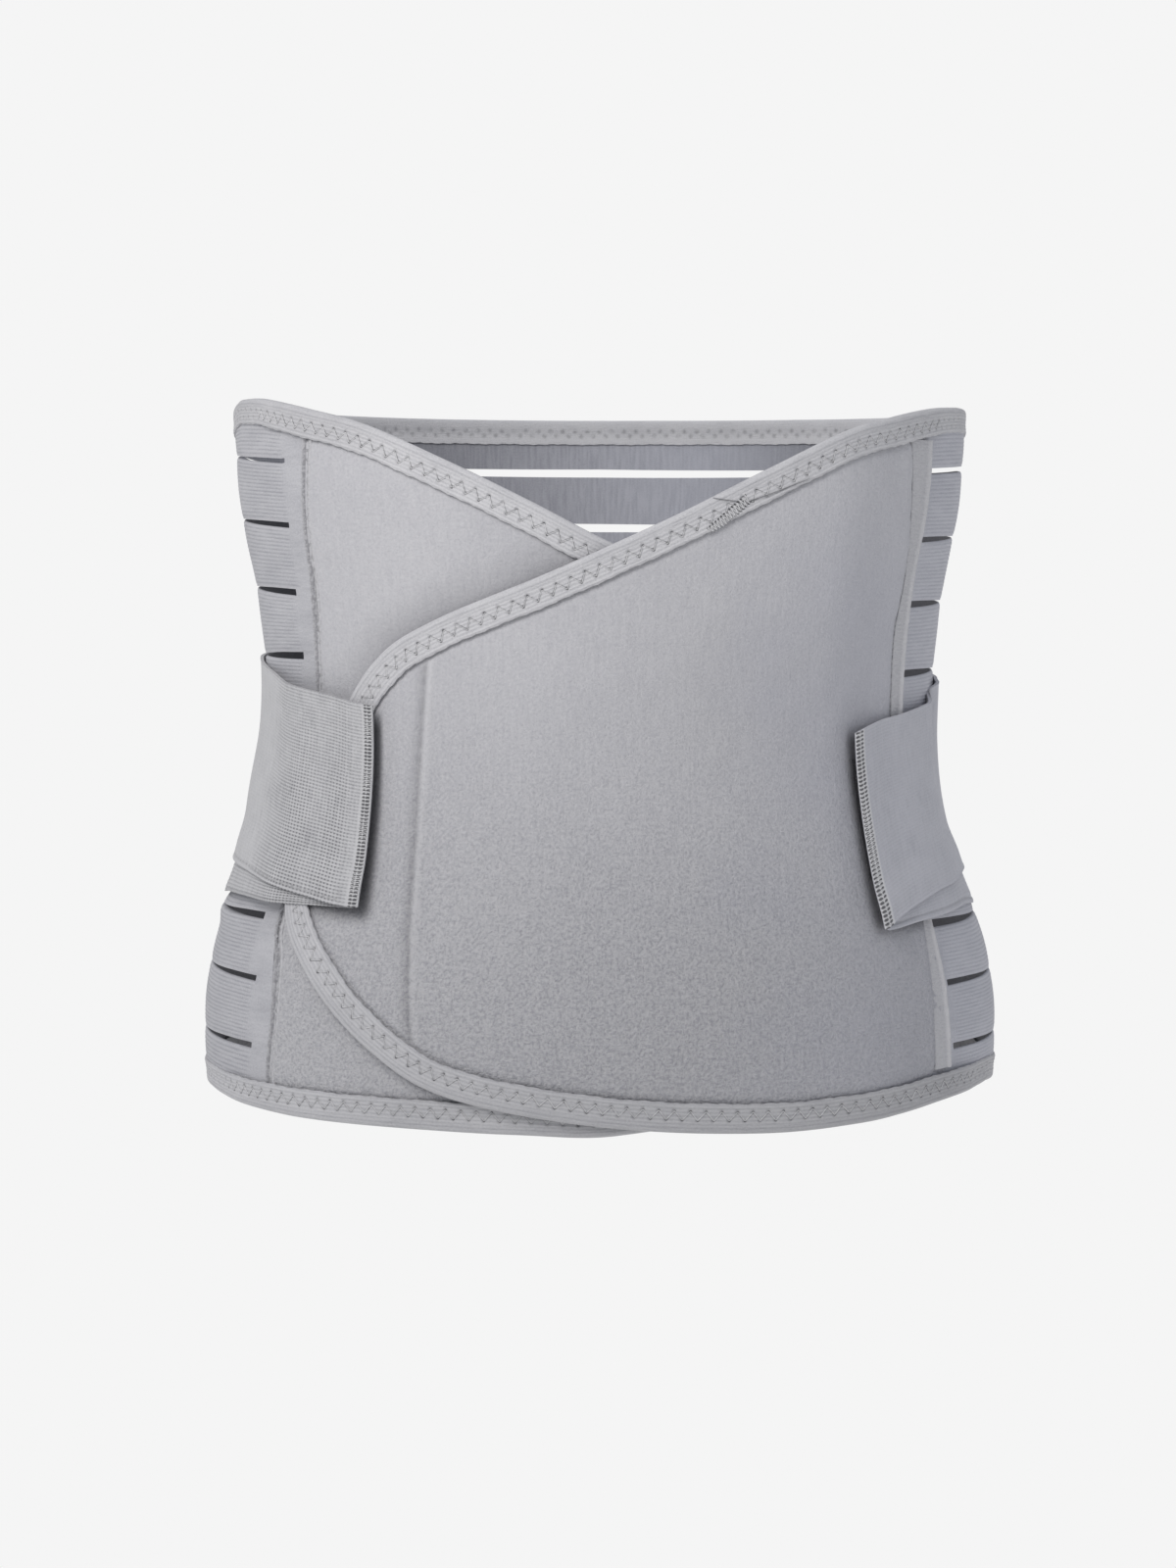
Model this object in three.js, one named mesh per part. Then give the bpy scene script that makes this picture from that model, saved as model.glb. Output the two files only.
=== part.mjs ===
// Abdominal binder, fastened as it is worn round a waist.
// A ribbed elastic back with ten slots, two overlapping plush front flaps, a folded tape
// over every raw edge, and two wide elastic pull straps brought from the back to the front.
// Millimetres, +Z up. The front faces -Y, and +X is on the right of someone who looks at it.
// The origin is the middle of the waist, where the wearer's body fills the binder.
//
// Every piece is laid on the worn body by three numbers: its turn round the body in degrees
// (0 at the front middle, 90 at the +X side, 180 at the back), its height z, and how far out
// from the body it lies.

import * as THREE from 'three';

// Form of the body under the cloth
const DEPTH_TO_WIDTH = 0.72;
const SQUARENESS = 0.02;
const BODY_LEVELS = [
  { z: -170, halfWidth: 159.2, swell: 0 },
  { z: -143, halfWidth: 160.2, swell: 1.5 },
  { z: -119, halfWidth: 157.6, swell: 2.3 },
  { z: -100, halfWidth: 153.0, swell: 2.1 },
  { z: -76, halfWidth: 145.7, swell: 0.2 },
  { z: -51, halfWidth: 139.2, swell: 0.3 },
  { z: -27, halfWidth: 135.2, swell: 1.4 },
  { z: -4, halfWidth: 134.4, swell: 2.1 },
  { z: 16, halfWidth: 135.8, swell: 2.1 },
  { z: 41, halfWidth: 139.4, swell: 2.0 },
  { z: 66, halfWidth: 144.5, swell: 2.0 },
  { z: 90, halfWidth: 146.9, swell: 2.0 },
  { z: 118, halfWidth: 147.8, swell: 1.6 },
];

// The body swells out a little more where it faces more sideways than this
const SWELL_START = 0.87;

// Cloth thicknesses, and the clearance between one layer and the next
const ELASTIC_WALL = 1.4;
const PLUSH_WALL = 1.6;
const TAPE_WALL = 0.7;
const STRAP_WALL = 1.2;
const HOOK_WALL = 0.7;
const LAYER_GAP = 0.4;

// Distance of each layer's inner face from the body, worked out layer by layer
const UNDER_LAYER = ELASTIC_WALL + LAYER_GAP;
const UNDER_TOP = UNDER_LAYER + PLUSH_WALL;
const OVER_LAYER = UNDER_TOP + 2 * (TAPE_WALL + LAYER_GAP) + LAYER_GAP;
const OVER_TOP = OVER_LAYER + PLUSH_WALL;
const STRAP_LAYER = OVER_TOP + TAPE_WALL + 2 * LAYER_GAP;
const STRAP_ON_BACK = ELASTIC_WALL + LAYER_GAP;
const FOLD_WALL = 1.0;
const FOLD_LIFT = FOLD_WALL + LAYER_GAP;

// Turns where something starts or ends, in degrees
const COLUMN_STEP = 6;
const BACK_EDGE_RIGHT = 48;
const BACK_EDGE_LEFT = 312;
const SLOT_START = 57;
const SLOT_END = 305;
const FLAP_EDGE_RIGHT = 57;
const FLAP_EDGE_LEFT = 305;
const RAMP_HIGH = 36;
const RAMP_LOW = 48;
const OVER_FREE_END = -50.3;
const UNDER_FREE_END = 394.5;
const FREE_END_SPAN = 14;

// Columns of cloth near the free ends, where the outline turns down steeply
const OVER_END_COLUMNS = [-47.6, -46, -43.5, -40];
const UNDER_END_COLUMNS = [385, 388, 390.5, 392];
const OVER_FIRST_FULL_COLUMN = -36;
const UNDER_LAST_FULL_COLUMN = 381;
const FLAP_ROWS = 14;

// Slots cut through the back: how far they gape, and the heights of their middles from the top down
const SLOTS = [
  { turn: 57, gap: 2.3, z: [83.2, 55.9, 30.5, 3.3, -20.5, -45, -69, -93.1, -116.1, -140.5] },
  { turn: 90, gap: 2.2, z: [87, 59, 32.1, 3.7, -21, -46, -71, -96.2, -119.8, -145] },
  { turn: 110, gap: 2.6, z: [87.5, 61.5, 34.5, 7, -18, -44, -69.5, -95, -119.5, -145] },
  { turn: 180, gap: 3.8, z: [89.6, 63.8, 38, 12.5, -13, -39, -65, -91.5, -118, -145] },
  { turn: 250, gap: 2.6, z: [89.2, 67, 39, 12.5, -14, -40, -66, -92.5, -117.5, -144] },
  { turn: 270, gap: 2, z: [92.5, 65.8, 37.8, 9.9, -15.5, -40.5, -66, -92.9, -115.5, -142.3] },
  { turn: 305, gap: 2.3, z: [87.2, 62, 35.5, 10.6, -14.5, -39.5, -64.5, -90.2, -114.3, -139.6] },
];

// Edge tape and the cloth inside it
const TAPE_WIDTH = 12;
const CLOTH_INSET = 2.6;
const TAPE_ROUNDING = 0.7;
const TAPE_SPACING = 13;
const SHORTEST_SPACING = 5;

// An outline is smoothed in a plane, with about this much cloth to a degree of turn
const MM_PER_DEGREE = 2.3;
const OUTLINE_STEPS = 400;

// How steep the outline is, as the upright share of its inward direction, where the tape's
// section changes from square to the edge to straight up and down
const STEEP_EDGE = 0.6;
const LEVEL_EDGE = 0.85;

// Raised tape down each side seam, which stops short of the edge tape
const SEAM_WIDTH = 4.4;
const SEAM_WALL = 0.6;
const SEAM_TURN_LEFT = 309.6;
const SEAM_TURN_RIGHT = 53.4;
const SEAM_INSET = TAPE_WIDTH + 1;
const SEAM_ROWS = 12;

// Outlines of the two flaps, to the outside of the tape, from the side round the free end
const OVER_FLAP_OUTLINE = [
  { turn: 72, z: 109.3 },
  { turn: 58, z: 108 },
  { turn: 45, z: 103.5 },
  { turn: 35, z: 96.8 },
  { turn: 22, z: 81 },
  { turn: 8, z: 62 },
  { turn: -8, z: 42.5 },
  { turn: -24, z: 26 },
  { turn: -33.5, z: 13.5 },
  { turn: -41, z: -6 },
  { turn: -47.5, z: -38 },
  { turn: -50.3, z: -66 },
  { turn: -48.3, z: -88 },
  { turn: -40.4, z: -109.8 },
  { turn: -29.3, z: -133.6 },
  { turn: -18.7, z: -148.9 },
  { turn: 0, z: -158.6 },
  { turn: 20, z: -162.4 },
  { turn: 36, z: -161.3 },
  { turn: 56, z: -159.4 },
  { turn: 72, z: -160 },
];

const UNDER_FLAP_OUTLINE = [
  { turn: 288, z: -162 },
  { turn: 317, z: -163 },
  { turn: 348, z: -163.4 },
  { turn: 362, z: -163 },
  { turn: 375, z: -154 },
  { turn: 385, z: -128 },
  { turn: 392, z: -94 },
  { turn: 394.5, z: -60 },
  { turn: 393, z: -24 },
  { turn: 388.5, z: 8 },
  { turn: 381, z: 29 },
  { turn: 372, z: 43 },
  { turn: 361, z: 55.4 },
  { turn: 350, z: 71 },
  { turn: 339, z: 85.3 },
  { turn: 326.4, z: 99 },
  { turn: 315, z: 105.9 },
  { turn: 300.5, z: 111.6 },
  { turn: 288, z: 113 },
];

// Edges of the elastic back, to the outside of the tape
const BACK_TOP_EDGE = [
  { turn: 48, z: 104.6 },
  { turn: 58, z: 108 },
  { turn: 72, z: 109.3 },
  { turn: 120, z: 113.5 },
  { turn: 240, z: 114 },
  { turn: 288, z: 113 },
  { turn: 300, z: 111.6 },
  { turn: 312, z: 107.2 },
];
const BACK_BOTTOM_EDGE = [
  { turn: 48, z: -159.8 },
  { turn: 72, z: -160 },
  { turn: 90, z: -161.8 },
  { turn: 120, z: -163 },
  { turn: 180, z: -164 },
  { turn: 240, z: -164 },
  { turn: 270, z: -163 },
  { turn: 288, z: -162 },
  { turn: 312, z: -163 },
];

// Straps from the free end at the front round to where they are sewn to the back.
// A fold of each strap spreads out below its outer layer.
const STRAP_LEFT = [
  { turn: -34.4, top: -6.6, bottom: -81, foldBottom: -82, out: STRAP_LAYER },
  { turn: -42, top: -4, bottom: -79.4, foldBottom: -82.5, out: STRAP_LAYER },
  { turn: -52, top: -0.8, bottom: -76.6, foldBottom: -83.4, out: STRAP_LAYER },
  { turn: -58, top: 1.4, bottom: -75, foldBottom: -83.7, out: 6.0 },
  { turn: -66, top: 4.4, bottom: -73.5, foldBottom: -84.6, out: 4.8 },
  { turn: -76, top: 5, bottom: -72.6, foldBottom: -86, out: 4.4 },
  { turn: -100, top: 5, bottom: -72, foldBottom: -86, out: 4.4 },
  { turn: -152, top: 5, bottom: -72, foldBottom: -84, out: STRAP_ON_BACK },
];
const STRAP_RIGHT = [
  { turn: 40, top: -17, bottom: -90.4, foldBottom: -91.4, out: 8.2 },
  { turn: 44.4, top: -13.6, bottom: -87, foldBottom: -91, out: 6.8 },
  { turn: 49, top: -11.4, bottom: -83.4, foldBottom: -90.2, out: 5.6 },
  { turn: 58, top: -8.2, bottom: -79.4, foldBottom: -89.6, out: 4.9 },
  { turn: 66, top: -3, bottom: -78, foldBottom: -90, out: 3.2 },
  { turn: 76, top: 0.6, bottom: -77.4, foldBottom: -92, out: STRAP_ON_BACK },
  { turn: 100, top: 1, bottom: -77, foldBottom: -92, out: STRAP_ON_BACK },
  { turn: 152, top: 1, bottom: -77, foldBottom: -90, out: STRAP_ON_BACK },
];
const STRAP_ROWS = 6;
const ROWS_OVER_FOLD = 1;
const FOLD_ROWS = 4;
const FOLD_TUCK = 8;

// Hook fastener patches out of sight behind the strap ends and the free end of the over flap
const HOOK_LEFT = { turns: [-39.6, -35.4], z: [-62, -38] };
const HOOK_RIGHT = { turns: [40.8, 47], z: [-72, -28] };
const HOOK_FRONT_TURNS = [-41, -38, -34.5, -31, -27.5];
const HOOK_FRONT_INSET = TAPE_WIDTH + 3;
const HOOK_FRONT_OUT = OVER_LAYER - 1.5 * LAYER_GAP - HOOK_WALL;
const HOOK_ROWS = 4;
const HOOK_FRONT_ROWS = 10;

const CLOTH_ROUGHNESS = 0.95;
const COLOURS = { plush: 0xadadb2, elastic: 0xa2a2a8, tape: 0xb2b2b7, strap: 0x98989d, hook: 0x8b8b91 };

// Smooth curve through a short table, read at one value of its first column
function smoothValue(table, key, at, column) {
  const last = table.length - 1;
  const rising = table[last][key] > table[0][key];
  let row = 0;
  while (row < last - 1 && (rising ? table[row + 1][key] < at : table[row + 1][key] > at)) {
    row += 1;
  }
  const slope = (i) => {
    const before = table[Math.max(i - 1, 0)];
    const after = table[Math.min(i + 1, last)];
    return (after[column] - before[column]) / (after[key] - before[key]);
  };
  const start = table[row];
  const end = table[row + 1];
  const span = end[key] - start[key];
  const u = THREE.MathUtils.clamp((at - start[key]) / span, 0, 1);
  const u2 = u * u;
  const u3 = u2 * u;
  return (2 * u3 - 3 * u2 + 1) * start[column]
    + (u3 - 2 * u2 + u) * span * slope(row)
    + (3 * u2 - 2 * u3) * end[column]
    + (u3 - u2) * span * slope(row + 1);
}

// Straight lines between the rows of a table
function linearValue(table, at, column) {
  const rising = table[table.length - 1].turn > table[0].turn;
  const rows = rising ? table : [...table].reverse();
  let row = 0;
  while (row < rows.length - 2 && rows[row + 1].turn < at) {
    row += 1;
  }
  const u = THREE.MathUtils.clamp(THREE.MathUtils.inverseLerp(rows[row].turn, rows[row + 1].turn, at), 0, 1);
  return THREE.MathUtils.lerp(rows[row][column], rows[row + 1][column], u);
}

function bodyPoint(turn, z, out) {
  const angle = THREE.MathUtils.degToRad(turn);
  const halfWidth = smoothValue(BODY_LEVELS, 'z', z, 'halfWidth') / (1 - SQUARENESS);
  const halfDepth = halfWidth * DEPTH_TO_WIDTH;
  const x = halfWidth * (Math.sin(angle) + SQUARENESS * Math.sin(3 * angle));
  const y = -halfDepth * (Math.cos(angle) - SQUARENESS * Math.cos(3 * angle));
  const alongX = halfWidth * (Math.cos(angle) + 3 * SQUARENESS * Math.cos(3 * angle));
  const alongY = halfDepth * (Math.sin(angle) - 3 * SQUARENESS * Math.sin(3 * angle));
  const length = Math.hypot(alongX, alongY);
  const sideways = THREE.MathUtils.smoothstep(Math.abs(Math.sin(angle)), SWELL_START, 1);
  const away = out + smoothValue(BODY_LEVELS, 'z', z, 'swell') * sideways;
  return new THREE.Vector3(x + away * alongY / length, y - away * alongX / length, z);
}

// Millimetres of cloth for one degree of turn
function mmPerDegree(turn, z) {
  return bodyPoint(turn - 0.5, z, 0).distanceTo(bodyPoint(turn + 0.5, z, 0));
}

// Closed solid from a grid of cells: place(column, row, face) gives each corner, face 0 being
// the one against the body and face 1 the outer one, and filled says which cells are cloth
function sheetSolid(columnCount, rowCount, place, filled = () => true) {
  const positions = [];
  const quad = (a, b, c, d) => {
    const corners = a.distanceTo(c) < b.distanceTo(d) ? [a, b, c, a, c, d] : [b, c, d, b, d, a];
    for (const corner of corners) {
      positions.push(corner.x, corner.y, corner.z);
    }
  };
  const cloth = (i, j) => i >= 0 && j >= 0 && i < columnCount && j < rowCount && filled(i, j);
  for (let i = 0; i < columnCount; i += 1) {
    for (let j = 0; j < rowCount; j += 1) {
      if (!cloth(i, j)) {
        continue;
      }
      const [a, b, c, d] = [[i, j], [i + 1, j], [i + 1, j + 1], [i, j + 1]].map(([m, n]) => place(m, n, 0));
      const [e, f, g, h] = [[i, j], [i + 1, j], [i + 1, j + 1], [i, j + 1]].map(([m, n]) => place(m, n, 1));
      quad(e, f, g, h);
      quad(a, d, c, b);
      if (!cloth(i, j - 1)) quad(a, b, f, e);
      if (!cloth(i + 1, j)) quad(b, c, g, f);
      if (!cloth(i, j + 1)) quad(c, d, h, g);
      if (!cloth(i - 1, j)) quad(d, a, e, h);
    }
  }
  const geometry = new THREE.BufferGeometry();
  geometry.setAttribute('position', new THREE.Float32BufferAttribute(positions, 3));
  geometry.computeVertexNormals();
  return geometry;
}

// Turns from one end to the other, with a column at every full step between
function columnsBetween(start, end, extra = []) {
  const turns = [start, end, ...extra];
  const first = Math.ceil((start + 1) / COLUMN_STEP) * COLUMN_STEP;
  for (let turn = first; turn < end - 1; turn += COLUMN_STEP) {
    if (extra.every((other) => Math.abs(other - turn) > 1)) {
      turns.push(turn);
    }
  }
  return turns.sort((a, b) => a - b);
}

function named(name, geometry, colour) {
  const finish = { color: colour, roughness: CLOTH_ROUGHNESS, metalness: 0 };
  const mesh = new THREE.Mesh(geometry, new THREE.MeshStandardMaterial(finish));
  mesh.name = name;
  return mesh;
}

// Outline of a flap as many small steps of a smooth curve, in turn and height
function outlineSteps(table) {
  const points = table.map((row) => new THREE.Vector2(row.turn * MM_PER_DEGREE, row.z));
  const steps = new THREE.SplineCurve(points).getSpacedPoints(OUTLINE_STEPS);
  return steps.map((point) => ({ turn: point.x / MM_PER_DEGREE, z: point.y }));
}

// Direction into the cloth at each step, in millimetres along the cloth
function inwardAt(steps, i) {
  const before = steps[Math.max(i - 1, 0)];
  const after = steps[Math.min(i + 1, steps.length - 1)];
  const scale = mmPerDegree(steps[i].turn, steps[i].z);
  return new THREE.Vector2(-(after.z - before.z), (after.turn - before.turn) * scale).normalize();
}

function insetSteps(steps, inset) {
  return steps.map((step, i) => {
    const inward = inwardAt(steps, i).multiplyScalar(inset);
    return { turn: step.turn + inward.x / mmPerDegree(step.turn, step.z), z: step.z + inward.y };
  });
}

// Lowest and highest point of an outline at one turn
function heightsAt(steps, turn) {
  const heights = [];
  for (let i = 1; i < steps.length; i += 1) {
    const [a, b] = [steps[i - 1], steps[i]];
    if ((a.turn - turn) * (b.turn - turn) <= 0 && a.turn !== b.turn) {
      heights.push(THREE.MathUtils.lerp(a.z, b.z, (turn - a.turn) / (b.turn - a.turn)));
    }
  }
  return { bottom: Math.min(...heights), top: Math.max(...heights) };
}

// Distance of the over flap's inner face from the body: it rises over the under flap's end
function overLift(turn) {
  const u = THREE.MathUtils.clamp((turn - RAMP_HIGH) / (RAMP_LOW - RAMP_HIGH), 0, 1);
  return THREE.MathUtils.lerp(OVER_LAYER, UNDER_LAYER, u);
}

// Cloth that the edge tape wraps: the inner and outer face of all of it, turn by turn
const WRAPPED_CLOTH = [
  { turn: -60, inner: OVER_LAYER, outer: OVER_TOP },
  { turn: RAMP_HIGH, inner: OVER_LAYER, outer: OVER_TOP },
  { turn: RAMP_LOW - COLUMN_STEP, inner: 2.3, outer: (OVER_TOP + UNDER_TOP) / 2 },
  { turn: RAMP_LOW, inner: 0, outer: UNDER_TOP },
  { turn: 60, inner: 0, outer: UNDER_TOP },
  { turn: 66, inner: 0, outer: ELASTIC_WALL },
  { turn: 294, inner: 0, outer: ELASTIC_WALL },
  { turn: 300, inner: 0, outer: UNDER_TOP },
  { turn: 312, inner: 0, outer: UNDER_TOP },
  { turn: 318, inner: UNDER_LAYER, outer: UNDER_TOP },
  { turn: 400, inner: UNDER_LAYER, outer: UNDER_TOP },
];

function makeBackElastic() {
  const columns = columnsBetween(BACK_EDGE_RIGHT, BACK_EDGE_LEFT, [SLOT_START, SLOT_END]);
  const slotMiddles = SLOTS[0].z.map((_, slot) => SLOTS.map(({ turn, z }) => ({ turn, z: z[slot] })));
  slotMiddles.reverse();
  const rowCount = 2 * slotMiddles.length + 1;
  const height = (turn, row) => {
    if (row === 0) return linearValue(BACK_BOTTOM_EDGE, turn, 'z') + CLOTH_INSET;
    if (row === rowCount) return linearValue(BACK_TOP_EDGE, turn, 'z') - CLOTH_INSET;
    const middle = linearValue(slotMiddles[Math.floor((row - 1) / 2)], turn, 'z');
    const halfGap = linearValue(SLOTS, turn, 'gap') / 2;
    return row % 2 === 1 ? middle - halfGap : middle + halfGap;
  };
  const place = (i, j, face) => bodyPoint(columns[i], height(columns[i], j), face * ELASTIC_WALL);
  const isSlot = (i, j) => j % 2 === 1 && columns[i] >= SLOT_START && columns[i + 1] <= SLOT_END;
  return sheetSolid(columns.length - 1, rowCount, place, (i, j) => !isSlot(i, j));
}

function makeFlap(outline, columns, lift) {
  const cloth = insetSteps(outlineSteps(outline), CLOTH_INSET);
  const heights = columns.map((turn) => heightsAt(cloth, turn));
  const place = (i, j, face) => {
    const z = THREE.MathUtils.lerp(heights[i].bottom, heights[i].top, j / FLAP_ROWS);
    return bodyPoint(columns[i], z, lift(columns[i]) + face * PLUSH_WALL);
  };
  return sheetSolid(columns.length - 1, FLAP_ROWS, place);
}

function makeOverFlap() {
  const columns = [...OVER_END_COLUMNS, ...columnsBetween(OVER_FIRST_FULL_COLUMN, FLAP_EDGE_RIGHT)];
  return makeFlap(OVER_FLAP_OUTLINE, columns, overLift);
}

function makeUnderFlap() {
  const columns = [...columnsBetween(FLAP_EDGE_LEFT, UNDER_LAST_FULL_COLUMN), ...UNDER_END_COLUMNS];
  return makeFlap(UNDER_FLAP_OUTLINE, columns, () => UNDER_LAYER);
}

// Places along one flap's outline where the tape's section is set: at each full step of turn
// on the long edges, and evenly spaced round the free end
function tapeStations(outline, endTurn) {
  const steps = outlineSteps(outline);
  const stations = [];
  let run = TAPE_SPACING;
  for (let i = 1; i < steps.length - 1; i += 1) {
    const before = steps[i - 1];
    const step = steps[i];
    const onLongEdge = Math.abs(step.turn - endTurn) > FREE_END_SPAN;
    const nextFull = Math.round(step.turn / COLUMN_STEP) * COLUMN_STEP;
    const passesFull = (before.turn - nextFull) * (step.turn - nextFull) <= 0;
    run += Math.hypot((step.turn - before.turn) * MM_PER_DEGREE, step.z - before.z);
    if (onLongEdge ? passesFull && run > SHORTEST_SPACING : run >= TAPE_SPACING) {
      stations.push({ turn: onLongEdge ? nextFull : step.turn, z: step.z, inward: inwardAt(steps, i) });
      run = 0;
    }
  }
  return stations;
}

function backStations(edge, inwardZ, fromTurn, toTurn) {
  const stations = [];
  const step = Math.sign(toTurn - fromTurn) * COLUMN_STEP;
  for (let turn = fromTurn; step > 0 ? turn <= toTurn : turn >= toTurn; turn += step) {
    const z = linearValue(edge, turn, 'z');
    stations.push({ turn, z, inward: new THREE.Vector2(0, inwardZ) });
  }
  return stations;
}

// One folded tape round every raw edge, a closed loop like the real one
function makeEdgeBinding() {
  const loop = [
    ...tapeStations(OVER_FLAP_OUTLINE, OVER_FREE_END),
    ...backStations(BACK_BOTTOM_EDGE, 1, 72, 288),
    ...tapeStations(UNDER_FLAP_OUTLINE, UNDER_FREE_END),
    ...backStations(BACK_TOP_EDGE, -1, 288, 72),
  ];
  const section = ({ turn, z, inward }) => {
    const upright = THREE.MathUtils.smoothstep(Math.abs(inward.y), STEEP_EDGE, LEVEL_EDGE);
    const across = inward.clone().lerp(new THREE.Vector2(0, Math.sign(inward.y)), upright);
    across.divideScalar(across.dot(inward));
    const place = (depth, out) => {
      const besideTurn = turn + depth * across.x / mmPerDegree(turn, z);
      return bodyPoint(besideTurn, z + depth * across.y, out);
    };
    const wrapped = (depth, face) => (
      linearValue(WRAPPED_CLOTH, turn + depth * across.x / mmPerDegree(turn, z), face)
    );
    const inner = (depth) => wrapped(depth, 'inner') - LAYER_GAP;
    const outer = (depth) => wrapped(depth, 'outer') + LAYER_GAP;
    const foldDepth = TAPE_WALL + TAPE_ROUNDING;
    return [
      place(TAPE_WIDTH, inner(TAPE_WIDTH) - TAPE_WALL),
      place(TAPE_ROUNDING, inner(0) - TAPE_WALL),
      place(0, (inner(0) + outer(0)) / 2),
      place(TAPE_ROUNDING, outer(0) + TAPE_WALL),
      place(TAPE_WIDTH, outer(TAPE_WIDTH) + TAPE_WALL),
      place(TAPE_WIDTH, outer(TAPE_WIDTH)),
      place(foldDepth, outer(foldDepth)),
      place(foldDepth, inner(foldDepth)),
      place(TAPE_WIDTH, inner(TAPE_WIDTH)),
    ];
  };
  return sweptLoop(loop.map(section));
}

// Closed ring of equal sections
function sweptLoop(sections) {
  const positions = [];
  const count = sections[0].length;
  sections.forEach((section, i) => {
    const next = sections[(i + 1) % sections.length];
    for (let k = 0; k < count; k += 1) {
      const m = (k + 1) % count;
      for (const corner of [section[k], next[k], next[m], section[k], next[m], section[m]]) {
        positions.push(corner.x, corner.y, corner.z);
      }
    }
  });
  const geometry = new THREE.BufferGeometry();
  geometry.setAttribute('position', new THREE.Float32BufferAttribute(positions, 3));
  geometry.computeVertexNormals();
  return geometry;
}

// Raised stay tape down the seam between a flap and the back
function makeSideSeam(turn, outline, lift) {
  const heights = heightsAt(insetSteps(outlineSteps(outline), SEAM_INSET), turn);
  const place = (i, j, face) => {
    const z = THREE.MathUtils.lerp(heights.bottom, heights.top, j / SEAM_ROWS);
    const beside = (i - 0.5) * SEAM_WIDTH / mmPerDegree(turn, z);
    return bodyPoint(turn + beside, z, lift + PLUSH_WALL + LAYER_GAP + face * SEAM_WALL);
  };
  return sheetSolid(1, SEAM_ROWS, place);
}

function strapColumns(table) {
  const turns = table.map((row) => row.turn);
  return columnsBetween(Math.min(...turns), Math.max(...turns), turns.slice(1, -1));
}

function makeStrap(table) {
  const columns = strapColumns(table);
  const place = (i, j, face) => {
    const turn = columns[i];
    const top = linearValue(table, turn, 'top');
    const bottom = linearValue(table, turn, 'bottom');
    const z = THREE.MathUtils.lerp(bottom, top, j / STRAP_ROWS);
    const overFold = j <= ROWS_OVER_FOLD ? FOLD_LIFT : 0;
    return bodyPoint(turn, z, linearValue(table, turn, 'out') + overFold + face * STRAP_WALL);
  };
  return sheetSolid(columns.length - 1, STRAP_ROWS, place);
}

// The part of a strap that is folded under and spreads out below the outer layer
function makeStrapFold(table) {
  const columns = strapColumns(table);
  const place = (i, j, face) => {
    const turn = columns[i];
    const low = linearValue(table, turn, 'foldBottom');
    const high = linearValue(table, turn, 'bottom') + FOLD_TUCK;
    const z = THREE.MathUtils.lerp(low, high, j / FOLD_ROWS);
    return bodyPoint(turn, z, linearValue(table, turn, 'out') + face * FOLD_WALL);
  };
  return sheetSolid(columns.length - 1, FOLD_ROWS, place);
}

// Patch between a strap end and the over flap
function makeStrapHook({ turns, z }) {
  const columns = columnsBetween(turns[0], turns[1]);
  const place = (i, j, face) => {
    const height = THREE.MathUtils.lerp(z[0], z[1], j / HOOK_ROWS);
    const out = overLift(columns[i]) + PLUSH_WALL + LAYER_GAP;
    return bodyPoint(columns[i], height, out + face * HOOK_WALL);
  };
  return sheetSolid(columns.length - 1, HOOK_ROWS, place);
}

// Patch under the free end of the over flap, inside its edge tape
function makeFrontHook() {
  const edge = insetSteps(outlineSteps(OVER_FLAP_OUTLINE), HOOK_FRONT_INSET);
  const heights = HOOK_FRONT_TURNS.map((turn) => heightsAt(edge, turn));
  const place = (i, j, face) => {
    const z = THREE.MathUtils.lerp(heights[i].bottom, heights[i].top, j / HOOK_FRONT_ROWS);
    return bodyPoint(HOOK_FRONT_TURNS[i], z, HOOK_FRONT_OUT + face * HOOK_WALL);
  };
  return sheetSolid(HOOK_FRONT_TURNS.length - 1, HOOK_FRONT_ROWS, place);
}

const binder = new THREE.Group();
binder.add(
  named('back_elastic', makeBackElastic(), COLOURS.elastic),
  named('under_flap', makeUnderFlap(), COLOURS.plush),
  named('over_flap', makeOverFlap(), COLOURS.plush),
  named('edge_binding', makeEdgeBinding(), COLOURS.tape),
  named('side_seam_left', makeSideSeam(SEAM_TURN_LEFT, UNDER_FLAP_OUTLINE, UNDER_LAYER), COLOURS.tape),
  named('side_seam_right', makeSideSeam(SEAM_TURN_RIGHT, OVER_FLAP_OUTLINE, UNDER_LAYER), COLOURS.tape),
  named('strap_left', makeStrap(STRAP_LEFT), COLOURS.strap),
  named('strap_right', makeStrap(STRAP_RIGHT), COLOURS.strap),
  named('strap_fold_left', makeStrapFold(STRAP_LEFT), COLOURS.strap),
  named('strap_fold_right', makeStrapFold(STRAP_RIGHT), COLOURS.strap),
  named('hook_tab_left', makeStrapHook(HOOK_LEFT), COLOURS.hook),
  named('hook_tab_right', makeStrapHook(HOOK_RIGHT), COLOURS.hook),
  named('hook_tab_front', makeFrontHook(), COLOURS.hook),
);

export default binder;
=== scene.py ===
# Looks of an abdominal binder: plush front flaps, a slotted ribbed back, folded edge tape with
# zigzag stitching, side seams, two ribbed pull straps and their hook tabs.
# The pieces are laid on the worn body in millimetres and made in metres, +Z up, front at -Y.

import math

import bpy
import numpy as np
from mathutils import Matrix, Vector


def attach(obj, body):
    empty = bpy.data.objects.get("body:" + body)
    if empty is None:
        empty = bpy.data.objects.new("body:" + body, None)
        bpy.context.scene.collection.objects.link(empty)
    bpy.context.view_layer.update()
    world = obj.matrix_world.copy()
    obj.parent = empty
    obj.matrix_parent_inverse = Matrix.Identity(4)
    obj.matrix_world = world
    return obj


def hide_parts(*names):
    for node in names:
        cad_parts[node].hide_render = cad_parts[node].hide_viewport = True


MM = 0.001
BODY = "root"

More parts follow.
